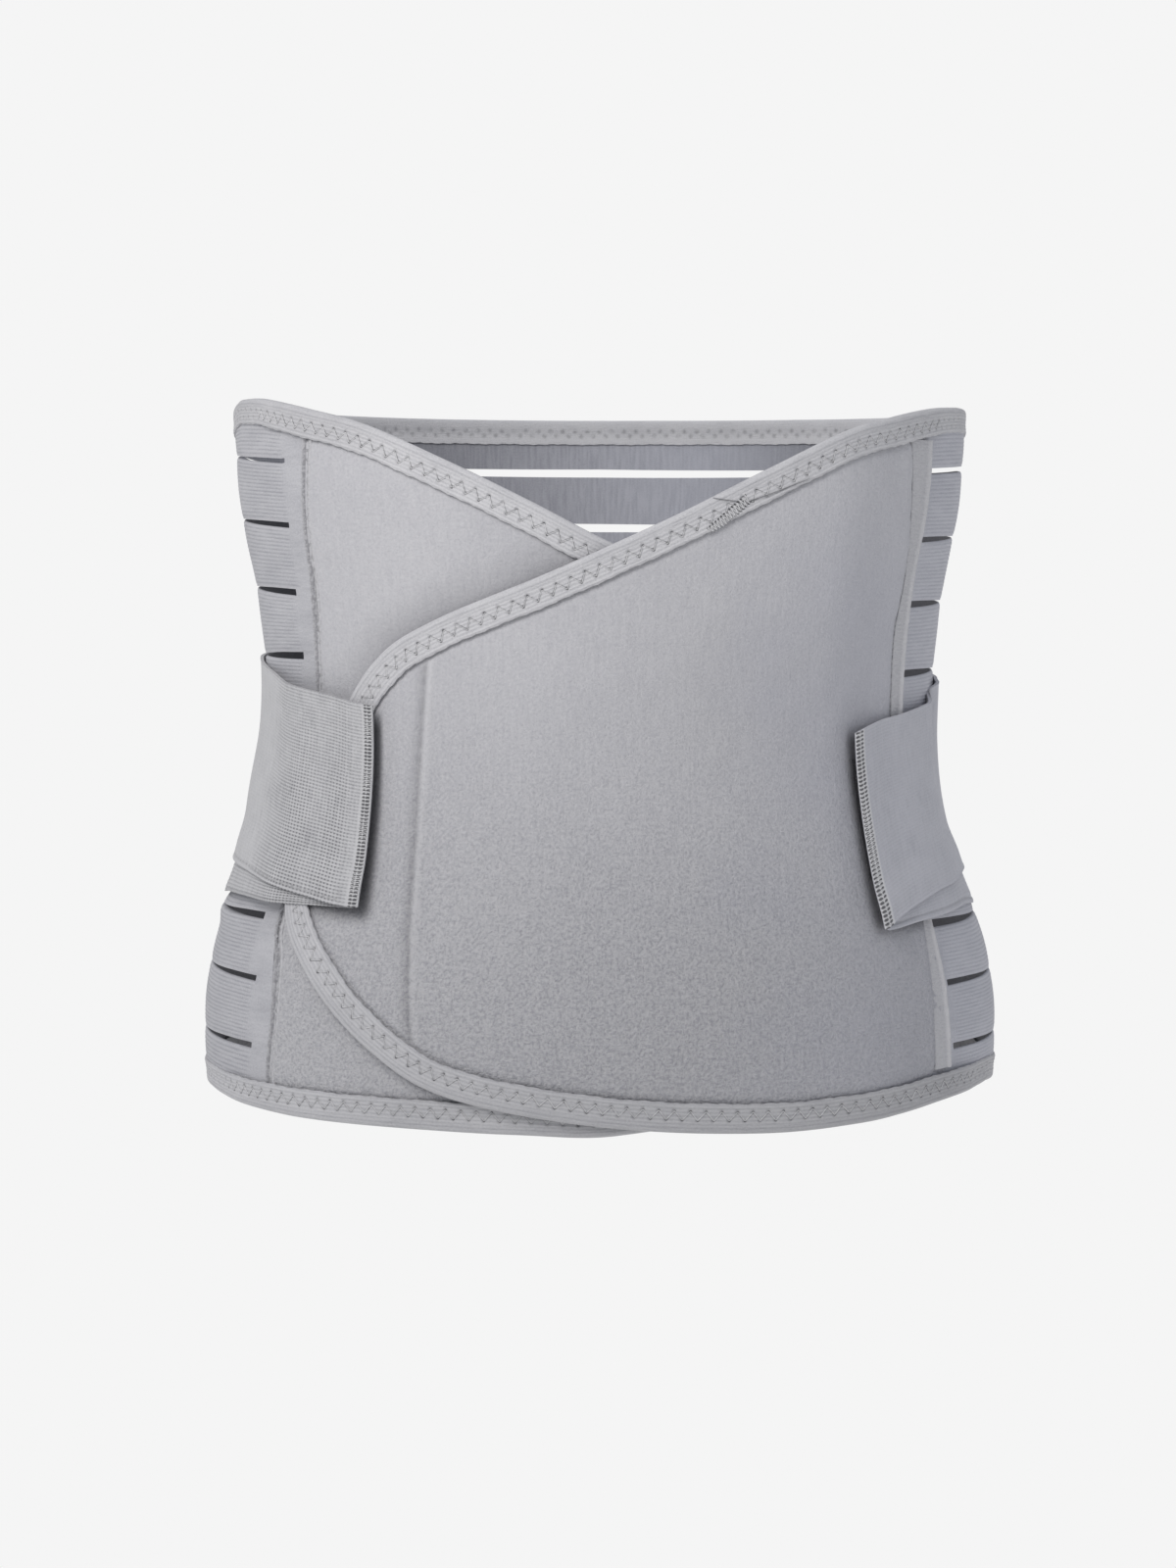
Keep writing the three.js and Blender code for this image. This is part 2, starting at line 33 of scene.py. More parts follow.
# Form of the body under the cloth: height, half width, and how much it swells out at the sides
BODY_LEVELS = np.array([
    (-170, 159.2, 0), (-143, 160.2, 1.5), (-119, 157.6, 2.3), (-100, 153.0, 2.1), (-76, 145.7, 0.2),
    (-51, 139.2, 0.3), (-27, 135.2, 1.4), (-4, 134.4, 2.1), (16, 135.8, 2.1), (41, 139.4, 2.0),
    (66, 144.5, 2.0), (90, 146.9, 2.0), (118, 147.8, 1.6),
], dtype=float)
SWELL_START = 0.87
DEPTH_TO_WIDTH = 0.72
SQUARENESS = 0.02

# Distances of the cloth layers from the body
ELASTIC_WALL = 1.4
PLUSH_WALL = 1.6
UNDER_LAYER = 1.8
UNDER_TOP = 3.4
OVER_LAYER = 6.0
OVER_TOP = 7.6
RAMP_HIGH = 34.0
RAMP_LOW = 50.0

# Outlines of the two flaps to the outside of the tape: turn and height
OVER_OUTLINE = np.array([
    (72, 109.8), (58, 107.6), (45, 102.6), (35, 96.5), (22, 81), (8, 62), (-8, 42.5), (-24, 26),
    (-33.5, 13.5), (-41, -6), (-47.5, -38), (-50.3, -66), (-48.3, -88), (-40.4, -109.8),
    (-29.3, -133.6), (-18.7, -148.9), (0, -158.6), (20, -162.4), (36, -161.3), (56, -159.4),
    (72, -160),
], dtype=float)
UNDER_OUTLINE = np.array([
    (288, -163), (317, -162.6), (335, -162.4), (350, -163), (362, -163), (375, -154), (385, -128),
    (392, -94), (394.5, -60), (393, -24), (388.5, 8), (381, 29), (372, 43), (361, 55.4), (350, 71),
    (339, 85.3), (326.4, 99), (315, 105.9), (300.5, 111.6), (288, 113),
], dtype=float)

# Top and bottom edge of the back, to the outside of the tape: turn and height
BACK_TOP = np.array([
    (48, 103.8), (58, 107.6), (72, 109.8), (80, 110.2), (88, 108.8), (96, 109.0), (104, 110.4),
    (120, 112), (145, 113.2), (170, 113.8), (225, 114), (240, 114), (252, 112), (262, 109.0),
    (270, 107.8), (278, 110.2), (288, 113), (300, 111.6), (312, 107.2),
], dtype=float)
BACK_BOTTOM = np.array([
    (48, -159.8), (72, -160.3), (80, -163.0), (90, -165.0), (102, -164.6), (120, -163), (180, -164),
    (240, -164), (262, -165), (270, -165.3), (278, -164.8), (288, -163), (312, -162.7),
], dtype=float)

# Near enough for spacing an outline's points: millimetres round the body for a degree of turn
MM_PER_DEGREE = 2.3

# Width of the folded tape, and how far in from its outside the raw edge of the cloth lies
TAPE_WIDTH = 11.2
CLOTH_INSET = 2.6

# Inner and outer face of all the cloth inside the edge tape, by turn round the closed loop
WRAPPED = np.array([
    (-60, OVER_LAYER, OVER_TOP), (34, OVER_LAYER, OVER_TOP), (42, 2.3, 5.6), (50, 0, 3.3),
    (60, 0, 2.6), (66, 0, ELASTIC_WALL), (294, 0, ELASTIC_WALL), (302, 0, 2.4), (310, 0, 3.0),
    (318, UNDER_LAYER, UNDER_TOP), (400, UNDER_LAYER, UNDER_TOP),
], dtype=float)

# Slots of the back. SLOTS gives each one from the top down: the heights of its middle at SLOT_TURNS,
# the turn of its right end and that of its left end. The slots gape this far at GAP_TURNS.
SLOT_TURNS = np.array([57, 90, 110, 180, 250, 270, 305], dtype=float)
GAP_TURNS = np.array([57, 66, 78, 90, 102, 118, 180, 244, 260, 270, 281, 294, 305], dtype=float)
SLOT_GAPS = np.array([2.0, 1.8, 1.0, 0.5, 1.0, 2.4, 3.8, 2.4, 1.0, 0.4, 0.8, 1.7, 1.9])
TOP_SLOT_GAPS = np.array([2.1, 2.1, 2.1, 2.2, 2.4, 2.6, 3.8, 2.6, 0.9, 0.5, 0.8, 1.5, 1.7])
SLOTS = [
    ((83.2, 87, 87.5, 89.6, 89.2, 92.5, 87.2), 59.2, 306.4),
    ((55.9, 59, 61.5, 63.8, 67, 65.8, 62), 59.6, 305.9),
    ((30.5, 32.1, 34.5, 38, 39, 37.8, 35.5), 59.3, 303.6),
    ((3.3, 3.7, 7, 12.5, 12.5, 9.9, 10.6), 59.6, 303.9),
    ((-20.5, -21, -18, -13, -14, -15.5, -14.5), 58.8, 303.4),
    ((-45, -46, -44, -39, -40, -40.5, -39.5), 57.8, 302.9),
    ((-69, -71, -69.5, -65, -66, -66, -64.5), 56.9, 302.5),
    ((-93.1, -96.2, -95, -91.5, -92.5, -92.9, -90.2), 56.0, 302.1),
    ((-116.1, -119.8, -119.5, -118, -117.5, -115.5, -114.3), 56.2, 304.6),
    ((-140.5, -145, -145, -145, -144, -142.3, -139.6), 55.8, 305.8),
]

# How many times wider each slot gapes at the body's two sides, from the top down
SIDE_GAPS = (1.1, 1.15, 1.4, 1.55, 1.2, 1.2, 1.2, 1.55, 1.25, 1.25)

# Ribs of the elastic
RIB_PITCH = 1.5
RIB_HEIGHT = 0.12
ROWS_PER_RIB = 3

# Seams, each by height and turn
LEFT_SEAM = np.array([
    (-151, 311.5), (-126, 311.9), (-105, 310.5), (-93, 308.5), (-1, 309.5), (23, 310.2), (44, 311.0),
    (56, 311.4), (96, 313.7),
], dtype=float)
RIGHT_SEAM_LINE = np.array([
    (-150, 49.4), (-120, 50.2), (-94, 52.0), (-40, 53.4), (2, 53.8), (21, 53.6), (39, 54.6), (50, 54.1),
    (65, 52.9), (83, 52.0), (97, 51.2),
], dtype=float)
RIGHT_SEAM_RIDGE = np.array([
    (-150, 53.4), (-126, 53.8), (-112, 54.2), (-90, 54.5), (-40, 56.6), (2, 57.8), (50, 57.5), (83, 57.7),
    (97, 57.3),
], dtype=float)
CLOSURE_SEAM = np.array([
    (-139, -23.0), (-130, -23.6), (-99, -25.0), (-93, -25.4), (-65, -26.5), (-26, -27.2), (9, -26.2),
], dtype=float)

# Straps: turn, top, bottom, lowest point of the fold below, distance from the body
STRAP_LEFT = np.array([
    (-34.6, -6.7, -81.2, -81.8, 9.1), (-38.9, -5.6, -80.6, -82.1, 9.1), (-42.4, -4.2, -79.6, -82.4, 9.1),
    (-47.4, -2.4, -78, -82.8, 9.1), (-52, -1.1, -76.6, -83.3, 9.1), (-57.6, 0.2, -75.4, -83.6, 7.2),
    (-61.8, 2, -74.7, -83.8, 5.8), (-66, 3.7, -74, -84.2, 4.8), (-76, 6.2, -73, -85.4, 4.0),
    (-88, 9, -72.2, -88.8, 3.8), (-100, 9.6, -72, -88, 3.8), (-152, 7, -72, -84, 1.8),
], dtype=float)
STRAP_RIGHT = np.array([
    (40.6, -17.6, -90.6, -91.4, 8.2), (42.8, -16.2, -88.2, -91.5, 7.4), (45.4, -14.9, -86.2, -91.2, 6.6),
    (49.8, -13.3, -83.9, -90.6, 5.6), (55.3, -12.0, -81.2, -90, 5.1), (58.8, -11.1, -80, -89.7, 4.8),
    (66, -9.6, -79.2, -89.3, 3.4), (69.2, -8.2, -78.6, -89.2, 2.8), (72.5, -4.8, -78, -89.6, 2.2),
    (76.5, -2.3, -77.6, -90.6, 1.8), (82, -0.6, -77.4, -92, 1.8), (90, 0.4, -77.2, -92.2, 1.8),
    (100, 1, -77, -92, 1.8), (152, 1, -77, -90, 1.8),
], dtype=float)
STRAP_WALL = 1.2
STRAP_HEIGHT = 78.0
CREASED_HEIGHT = 76
STRAP_MM_PER_DEGREE = 2.45
FOLD_WALL = 1.0
FOLD_LIFT = 1.4
WEBBING_PITCH = 1.36

# How far a strap's free end leans: its lower corner lies this much further to the right than its
# upper one, in degrees for the strap and in millimetres for the shade that it throws
LEFT_SLANT = 1.6
RIGHT_SLANT = -0.6
LEFT_SLANT_MM = 3.6
RIGHT_SLANT_MM = -1.3

# Top and height of the two free ends, for the shade beside them
LEFT_END_TOP = -6.0
LEFT_END_HEIGHT = 75.0
RIGHT_END_TOP = -17.0
RIGHT_END_HEIGHT = 73.0

# Needle holes and rungs of the hem at each free end
HEM_HEIGHT = 74
LEFT_HEM_PITCH = 1.36
RIGHT_HEM_PITCH = 1.55

# Where the flaps' cloth meets the side seams, the middle of the closure seam, and the pitch of the
# small puckers beside the tape
OVER_END = 57.0
UNDER_END = 305.0
CLOSURE_MIDDLE = -25.7
PUCKER_PITCH = 8.3


def smooth_read(table, at, column=1):
    """A smooth curve through one column of a table, read at many places of its first column."""
    rows = table if table[0, 0] < table[-1, 0] else table[::-1]
    keys = rows[:, 0]
    values = rows[:, column]
    index = np.arange(len(keys))
    before = np.maximum(index - 1, 0)
    after = np.minimum(index + 1, len(keys) - 1)
    slopes = (values[after] - values[before]) / (keys[after] - keys[before])
    row = np.clip(np.searchsorted(keys, at, side="right") - 1, 0, len(keys) - 2)
    span = keys[row + 1] - keys[row]
    u = np.clip((at - keys[row]) / span, 0.0, 1.0)
    return (
        (2 * u ** 3 - 3 * u ** 2 + 1) * values[row]
        + (u ** 3 - 2 * u ** 2 + u) * span * slopes[row]
        + (3 * u ** 2 - 2 * u ** 3) * values[row + 1]
        + (u ** 3 - u ** 2) * span * slopes[row + 1]
    )


def ease(value, low, high):
    """0 below low, 1 above high, and a soft step between."""
    u = np.clip((value - low) / (high - low), 0.0, 1.0)
    return u * u * (3 - 2 * u)


def bell(distance, width):
    return np.exp(-(distance / width) ** 2)


def soft_waves(x, y, wavelength, seed):
    """Soft irregular waves of height about 1 over a plane."""
    draws = np.random.default_rng(seed)
    total = np.zeros(np.broadcast(x, y).shape)
    for _ in range(7):
        heading = draws.uniform(0, 2 * math.pi)
        length = wavelength * draws.uniform(0.6, 1.5)
        phase = draws.uniform(0, 2 * math.pi)
        total += np.sin((x * math.cos(heading) + y * math.sin(heading)) * 2 * math.pi / length + phase)
    return total / 3.0


def body_point(turn, z, out):
    """Point at a turn, a height and a distance out from the body, in millimetres."""
    turn, z, out = np.broadcast_arrays(turn, z, out)
    angle = np.radians(turn)
    half_width = smooth_read(BODY_LEVELS, z) / (1 - SQUARENESS)
    half_depth = half_width * DEPTH_TO_WIDTH
    x = half_width * (np.sin(angle) + SQUARENESS * np.sin(3 * angle))
    y = -half_depth * (np.cos(angle) - SQUARENESS * np.cos(3 * angle))
    along_x = half_width * (np.cos(angle) + 3 * SQUARENESS * np.cos(3 * angle))
    along_y = half_depth * (np.sin(angle) - 3 * SQUARENESS * np.sin(3 * angle))
    length = np.hypot(along_x, along_y)
    away = out + smooth_read(BODY_LEVELS, z, 2) * ease(abs(np.sin(angle)), SWELL_START, 1.0)
    return np.stack([x + away * along_y / length, y - away * along_x / length, z], axis=-1)


def outward_at(turn, z):
    step = body_point(turn, z, 1.0) - body_point(turn, z, 0.0)
    return step / np.linalg.norm(step, axis=-1, keepdims=True)


def mm_per_degree(turn, z):
    return np.linalg.norm(body_point(turn + 0.5, z, 0.0) - body_point(turn - 0.5, z, 0.0), axis=-1)


def length_so_far(points):
    """Distance along a line of points, from its first one to each."""
    return np.concatenate([[0.0], np.cumsum(np.linalg.norm(np.diff(points, axis=0), axis=1))])


ARC_TURNS = np.arange(-200.0, 420.5, 0.5)
ARC_LENGTHS = length_so_far(body_point(ARC_TURNS, 0.0, 0.0))


def arc_mm(turn):
    """Millimetres round the waist from the front middle."""
    return np.interp(turn, ARC_TURNS, ARC_LENGTHS) - np.interp(0.0, ARC_TURNS, ARC_LENGTHS)


def over_lift(turn):
    """Distance of the over flap's inner face from the body: it comes down at the side."""
    return OVER_LAYER + (UNDER_LAYER - OVER_LAYER) * ease(turn, RAMP_HIGH, RAMP_LOW)


def smooth_outline(table, steps=900):
    """Evenly spaced points of a smooth curve through an outline: turn and height."""
    points = table * np.array([MM_PER_DEGREE, 1.0])
    samples = []
    for i in range(len(points) - 1):
        p0 = points[max(i - 1, 0)]
        p1 = points[i]
        p2 = points[i + 1]
        p3 = points[min(i + 2, len(points) - 1)]
        start = (p2 - p0) / 2
        end = (p3 - p1) / 2
        t = np.linspace(0, 1, 40, endpoint=False)[:, None]
        cubed = 2 * p1 - 2 * p2 + start + end
        squared = 3 * p2 - 3 * p1 - 2 * start - end
        samples.append(cubed * t ** 3 + squared * t ** 2 + start * t + p1)
    samples.append(points[-1:])
    path = np.concatenate(samples)
    run = length_so_far(path)
    places = np.linspace(0, run[-1], steps)
    turn = np.interp(places, run, path[:, 0]) / MM_PER_DEGREE
    return np.stack([turn, np.interp(places, run, path[:, 1])], axis=1)


def inward_of(change, path):
    """Direction into the cloth beside each point of a path, from how turn and height change there."""
    scale = mm_per_degree(path[:, 0], path[:, 1])
    inward = np.stack([-change[:, 1], change[:, 0] * scale], axis=1)
    return inward / np.linalg.norm(inward, axis=1, keepdims=True)


def inset_path(path, inset):
    inward = inward_of(np.gradient(path, axis=0), path) * inset
    scale = mm_per_degree(path[:, 0], path[:, 1])
    return np.stack([path[:, 0] + inward[:, 0] / scale, path[:, 1] + inward[:, 1]], axis=1)


def distance_to(path, turn, z):
    """Millimetres along the cloth from each point to the nearest point of a path."""
    flat_turn = turn.ravel()
    flat_z = z.ravel()
    scale = mm_per_degree(flat_turn, flat_z)
    nearest = np.full(flat_turn.shape, 1e9)
    for step in path[::2]:
        reach = np.hypot((flat_turn - step[0]) * scale, flat_z - step[1])
        nearest = np.minimum(nearest, reach)
    return nearest.reshape(turn.shape)


def by_column(values, grid):
    """Values of a grid's columns, repeated in all its rows."""
    return values[:, None] * np.ones(grid.shape)


def cloth_uv(turn, z):
    return np.stack([arc_mm(turn), z], axis=-1)


def add_piece(name, points, faces, corner_uv, marks, material):
    """A mesh object from points in millimetres, with its own UV map and painted marks."""
    mesh = bpy.data.meshes.new(name)
    mesh.from_pydata((points * MM).tolist(), [], faces)
    layer = mesh.uv_layers.new(name="cloth")
    layer.data.foreach_set("uv", corner_uv(mesh).astype(np.float32).ravel())
    for mark, values in marks.items():
        attribute = mesh.attributes.new(mark, "FLOAT", "POINT")
        attribute.data.foreach_set("value", values.astype(np.float32).ravel())
    mesh.shade_smooth()
    mesh.set_sharp_from_angle(angle=math.radians(55))
    mesh.materials.append(material)
    mesh.validate()
    piece = bpy.data.objects.new(name, mesh)
    bpy.context.scene.collection.objects.link(piece)
    return piece


def uv_by_point(uv):
    """UV of each face corner, read from the value at its point."""
    def read(mesh):
        corners = np.empty(len(mesh.loops), dtype=np.int32)
        mesh.loops.foreach_get("vertex_index", corners)
        return uv[corners]
    return read


def cloth_shell(name, outer, inner, outer_uv, inner_uv, marks, material, holes=(), inner_marks=None):
    """A closed sheet from an outer and an inner grid with the same columns.

    Each hole is given by its first and last column, the low and high row of its outer edge, and
    the low and high row of its inner edge.
    """
    columns, outer_rows = outer.shape[:2]
    inner_rows = inner.shape[1]
    out_id = np.arange(columns * outer_rows).reshape(columns, outer_rows)
    in_id = columns * outer_rows + np.arange(columns * inner_rows).reshape(columns, inner_rows)
    open_out = np.ones((columns - 1, outer_rows - 1), dtype=bool)
    open_in = np.ones((columns - 1, inner_rows - 1), dtype=bool)
    for first, last, low, high, in_low, in_high in holes:
        open_out[first:last, low:high] = False
        open_in[first:last, in_low:in_high] = False

    def cells(ids, kept):
        corners = [ids[:-1, :-1][kept], ids[1:, :-1][kept], ids[1:, 1:][kept], ids[:-1, 1:][kept]]
        return np.stack(corners, axis=1)

    faces = cells(out_id, open_out).tolist() + cells(in_id, open_in)[:, ::-1].tolist()

    def wall_over(first, last, low, in_low):
        for i in range(first, last):
            faces.append([out_id[i, low], out_id[i + 1, low], in_id[i + 1, in_low], in_id[i, in_low]])

    def wall_under(first, last, low, in_low):
        for i in range(first, last):
            faces.append([out_id[i + 1, low], out_id[i, low], in_id[i, in_low], in_id[i + 1, in_low]])

    def wall_after(column, low, high, in_low, in_high):
        faces.append(list(out_id[column, low:high + 1][::-1]) + list(in_id[column, in_low:in_high + 1]))

    def wall_before(column, low, high, in_low, in_high):
        faces.append(list(out_id[column, low:high + 1]) + list(in_id[column, in_low:in_high + 1][::-1]))

    wall_under(0, columns - 1, 0, 0)
    wall_over(0, columns - 1, outer_rows - 1, inner_rows - 1)
    wall_before(0, 0, outer_rows - 1, 0, inner_rows - 1)
    wall_after(columns - 1, 0, outer_rows - 1, 0, inner_rows - 1)
    for first, last, low, high, in_low, in_high in holes:
        wall_over(first, last, low, in_low)
        wall_under(first, last, high, in_high)
        wall_after(first, low, high, in_low, in_high)
        wall_before(last, low, high, in_low, in_high)

    points = np.concatenate([outer.reshape(-1, 3), inner.reshape(-1, 3)])
    uv = np.concatenate([outer_uv.reshape(-1, 2), inner_uv.reshape(-1, 2)])
    all_marks = {}
    for mark, values in marks.items():
        all_marks[mark] = np.concatenate([np.asarray(values, dtype=float).ravel(), np.zeros(in_id.size)])
    for mark, values in (inner_marks or {}).items():
        all_marks[mark] = np.concatenate([np.zeros(out_id.size), values.ravel()])
    all_marks["inside"] = np.concatenate([np.zeros(out_id.size), np.ones(in_id.size)])
    return add_piece(name, points, faces, uv_by_point(uv), all_marks, material)


def add_node(tree, kind, settings, values):
    """A node with its settings, and each input linked to a socket or set to a value."""
    made = tree.nodes.new(kind)
    for key, value in settings.items():
        setattr(made, key, value)
    for key, value in values.items():
        if isinstance(value, bpy.types.NodeSocket):
            tree.links.new(value, made.inputs[key])
        else:
            made.inputs[key].default_value = value
    return made


class Wire:
    """A node's output, which takes Python's operators and adds Math nodes for them."""

    def __init__(self, finish, socket):
        self.finish = finish
        self.socket = socket

    def math(self, operation, *others):
        values = dict(enumerate((self,) + others))
        return self.finish.node("ShaderNodeMath", {"operation": operation}, values)

    def flipped(self, operation, other):
        return self.finish.node("ShaderNodeMath", {"operation": operation}, {0: other, 1: self})

    def __add__(self, other):
        return self.math("ADD", other)

    def __radd__(self, other):
        return self.flipped("ADD", other)

    def __sub__(self, other):
        return self.math("SUBTRACT", other)

    def __rsub__(self, other):
        return self.flipped("SUBTRACT", other)

    def __mul__(self, other):
        return self.math("MULTIPLY", other)

    def __rmul__(self, other):
        return self.flipped("MULTIPLY", other)

    def __truediv__(self, other):
        return self.math("DIVIDE", other)

    def smooth(self, low, high):
        values = {"Value": self, "From Min": low, "From Max": high}
        return self.finish.node("ShaderNodeMapRange", {"interpolation_type": "SMOOTHSTEP"}, values)

    def wave(self, pitch):
        """1 on the crest and 0 in the valley of a wave along this value."""
        return (self * (2 * math.pi / pitch)).math("COSINE") * 0.5 + 0.5

    def size(self):
        return self.math("ABSOLUTE")

    def reach(self, other):
        """Length of the line to a place this far along and the other far across."""
        return (self * self + other * other).math("SQRT")

    def off_from(self, pitch, start=0.0):
        """Distance from the nearest of a row of marks at every pitch."""
        along = (self - (start - pitch / 2)).math("FLOORED_MODULO", pitch)
        return (along - pitch / 2).size()


class Finish:
    """The node tree of one material."""

    def __init__(self, name):
        self.material = bpy.data.materials.new(name)
        self.material.use_nodes = True
        self.tree = self.material.node_tree
        self.tree.nodes.clear()

    def node(self, kind, settings=None, values=None, output=0):
        inputs = {}
        for key, value in (values or {}).items():
            inputs[key] = value.socket if isinstance(value, Wire) else value
        made = add_node(self.tree, kind, settings or {}, inputs)
        return Wire(self, made.outputs[output])

    def cloth(self):
        """The piece's own UV map in millimetres: along the cloth and across it."""
        uv = self.node("ShaderNodeUVMap", {"uv_map": "cloth"})
        along = self.node("ShaderNodeSeparateXYZ", None, {"Vector": uv}, "X")
        across = Wire(self, along.socket.node.outputs["Y"])
        return along, across

    def mark(self, name):
        """A value painted on the piece's points."""
        return self.node("ShaderNodeAttribute", {"attribute_name": name}, None, "Fac")

    def noise(self, u, v, detail, roughness, seed):
        place = self.node("ShaderNodeCombineXYZ", None, {0: u, 1: v, 2: seed})
        values = {"Vector": place, "Scale": 1.0, "Detail": detail, "Roughness": roughness}
        return self.node("ShaderNodeTexNoise", {"noise_dimensions": "3D"}, values)

    def blend(self, amount, first, second):
        """From the first colour to the second by an amount."""
        values = {0: amount, 6: first, 7: second}
        return self.node("ShaderNodeMix", {"data_type": "RGBA"}, values, 2)

    def bump(self, height, strength):
        """A normal from a height in millimetres."""
        values = {"Strength": strength, "Distance": MM, "Height": height}
        return self.node("ShaderNodeBump", None, values)

    def done(self, colour, roughness, normal, specular, sheen=0.0):
        """The whole material: a rough surface with a little sheen on its fibres."""
        values = {
            "Base Color": colour, "Roughness": roughness, "Normal": normal,
            "Specular IOR Level": specular, "Sheen Weight": sheen, "Sheen Roughness": SHEEN_ROUGHNESS,
        }
        self.show(self.node("ShaderNodeBsdfPrincipled", None, values))
        return self.material

    def show(self, shader):
        end = self.tree.nodes.new("ShaderNodeOutputMaterial")
        self.tree.links.new(shader.socket, end.inputs["Surface"])


def rgb(red, green, blue):
    return (red, green, blue, 1.0)


# Cloth colours, as shares of the light that they give back
PLUSH_LIGHT = rgb(0.500, 0.498, 0.518)
PLUSH_DARK = rgb(0.345, 0.345, 0.374)
# Painted cool shade for the plush's right side
PLUSH_COOL_SHADE = rgb(0.395, 0.400, 0.462)
ELASTIC_LIGHT = rgb(0.485, 0.485, 0.509)
# Painted cool light for the elastic at the right
ELASTIC_COOL_LIGHT = rgb(0.600, 0.620, 0.740)
# Painted light for the inside of the back
LINING_PAINTED_LIGHT = rgb(0.600, 0.620, 0.700)
ELASTIC_DARK = rgb(0.270, 0.272, 0.300)
LINING_LIGHT = rgb(0.425, 0.430, 0.472)
LINING_DARK = rgb(0.325, 0.330, 0.370)
TAPE_LIGHT = rgb(0.560, 0.558, 0.576)
TAPE_DARK = rgb(0.350, 0.350, 0.372)
WEBBING_LIGHT = rgb(0.480, 0.480, 0.494)
WEBBING_DARK = rgb(0.175, 0.175, 0.190)
WEBBING_COOL = rgb(0.430, 0.440, 0.540)
THREAD_LIGHT = rgb(0.600, 0.600, 0.612)
THREAD_DARK = rgb(0.420, 0.420, 0.432)
# Painted light for the inside of the tape at the back
TAPE_PAINTED_LIGHT = rgb(0.780, 0.780, 0.800)
SEAM_SHADOW = rgb(0.070, 0.070, 0.080)
WEBBING_GAP = rgb(0.085, 0.085, 0.095)
# Hook tape, dark grey deepened to near black as painted shade under the strap ends
HOOK_GROUND_SHADED = rgb(0.050, 0.050, 0.056)
HOOK_TIP_SHADED = rgb(0.110, 0.110, 0.120)
# Near black, for needle holes and for painted shade and painted shadows
SHADE_AND_HOLE = rgb(0.040, 0.040, 0.046)
SHEEN_ROUGHNESS = 0.6


def shade_beside_ends(u, v, left_end, right_end):
    """Shade on the plush beside the straps' free ends: it widens downwards at the left one."""
    left_reach = (-18.0 - v).smooth(-20.0, 80.0) * 2.8 + 2.4
    left_edge = left_end - (v - LEFT_END_TOP) * (LEFT_SLANT_MM / LEFT_END_HEIGHT)
    left = (1 - ((u - left_edge) / left_reach).smooth(0.05, 1.0)) * v.smooth(-90.0, -81.0)
    left = left * (1 - v.smooth(-16.0, -8.0))
    right_edge = right_end - (v - RIGHT_END_TOP) * (RIGHT_SLANT_MM / RIGHT_END_HEIGHT)
    right = ((u - right_edge) / 5.2).smooth(-1.0, -0.05) * v.smooth(-97.0, -88.0)
    right = right * (1 - v.smooth(-22.0, -14.0))
    return left.math("MAXIMUM", right)


def plush_finish(left_end, right_end):
    """Brushed plush: a matt nap, coarser low down, and painted shade, low down and cool at the right.

    It has painted shade too in a hollow between the straps and beside their ends.
    """
    f = Finish("plush_cloth")
    u, v = f.cloth()
    grain = f.noise(u / 1.05, v / 1.25, 3.0, 0.75, 1.0) - 0.5
    streaks = f.noise(u / 1.9, v / 13.0, 2.0, 0.6, 2.0) - 0.5
    clumps = f.noise(u / 3.0, v / 3.6, 3.0, 0.65, 3.0) - 0.5
    patches = f.noise(u / 46.0, v / 58.0, 2.0, 0.5, 4.0) - 0.5
    coarse = 0.70 + (1 - v.smooth(-120.0, 20.0)) * 1.65
    shade = 0.42 + grain * coarse * 1.35 + streaks * 0.34 + clumps * coarse * 0.34 + patches * 0.34
    # Painted highlight on the raised ridge beside the closure seam
    shade = shade - f.mark("ridge") * 0.30
    colour = f.blend(shade.smooth(0.0, 1.0), PLUSH_LIGHT, PLUSH_DARK)
    # Painted shade: darker low down across the front, fading at the far sides, and in a soft hollow
    # between the straps
    low = (1 - (v - u.smooth(0.0, 100.0) * 25.0).smooth(-150.0, 60.0)) * u.smooth(-130.0, 40.0)
    low = low * (1 - u.smooth(110.0, 160.0) * 0.9)
    hollow = 1 - ((u - 58.0) * 0.8).reach(v).smooth(5.0, 62.0)
    colour = f.blend(low * 0.14 + hollow * 0.09, colour, SHADE_AND_HOLE)
    # Painted shade, cooler and darker towards the right, weaker near the top, its edge broken by broad
    # patches
    cool_shade = (u + patches * 90.0).smooth(25.0, 105.0) * (1 - v.smooth(20.0, 90.0) * 0.6)
    colour = f.blend(cool_shade * 0.42, colour, PLUSH_COOL_SHADE)
    # Painted shade in the closure seam's line and beside the over flap's edge
    colour = f.blend(f.mark("crease") * 0.50, colour, SHADE_AND_HOLE)
    colour = f.blend(shade_beside_ends(u, v, left_end, right_end) * 0.80, colour, SHADE_AND_HOLE)
    height = grain * coarse * 0.60 + streaks * 0.20 + clumps * coarse * 0.42
    return f.done(colour, 0.93, f.bump(height, 0.9), sheen=0.18, specular=0.10)


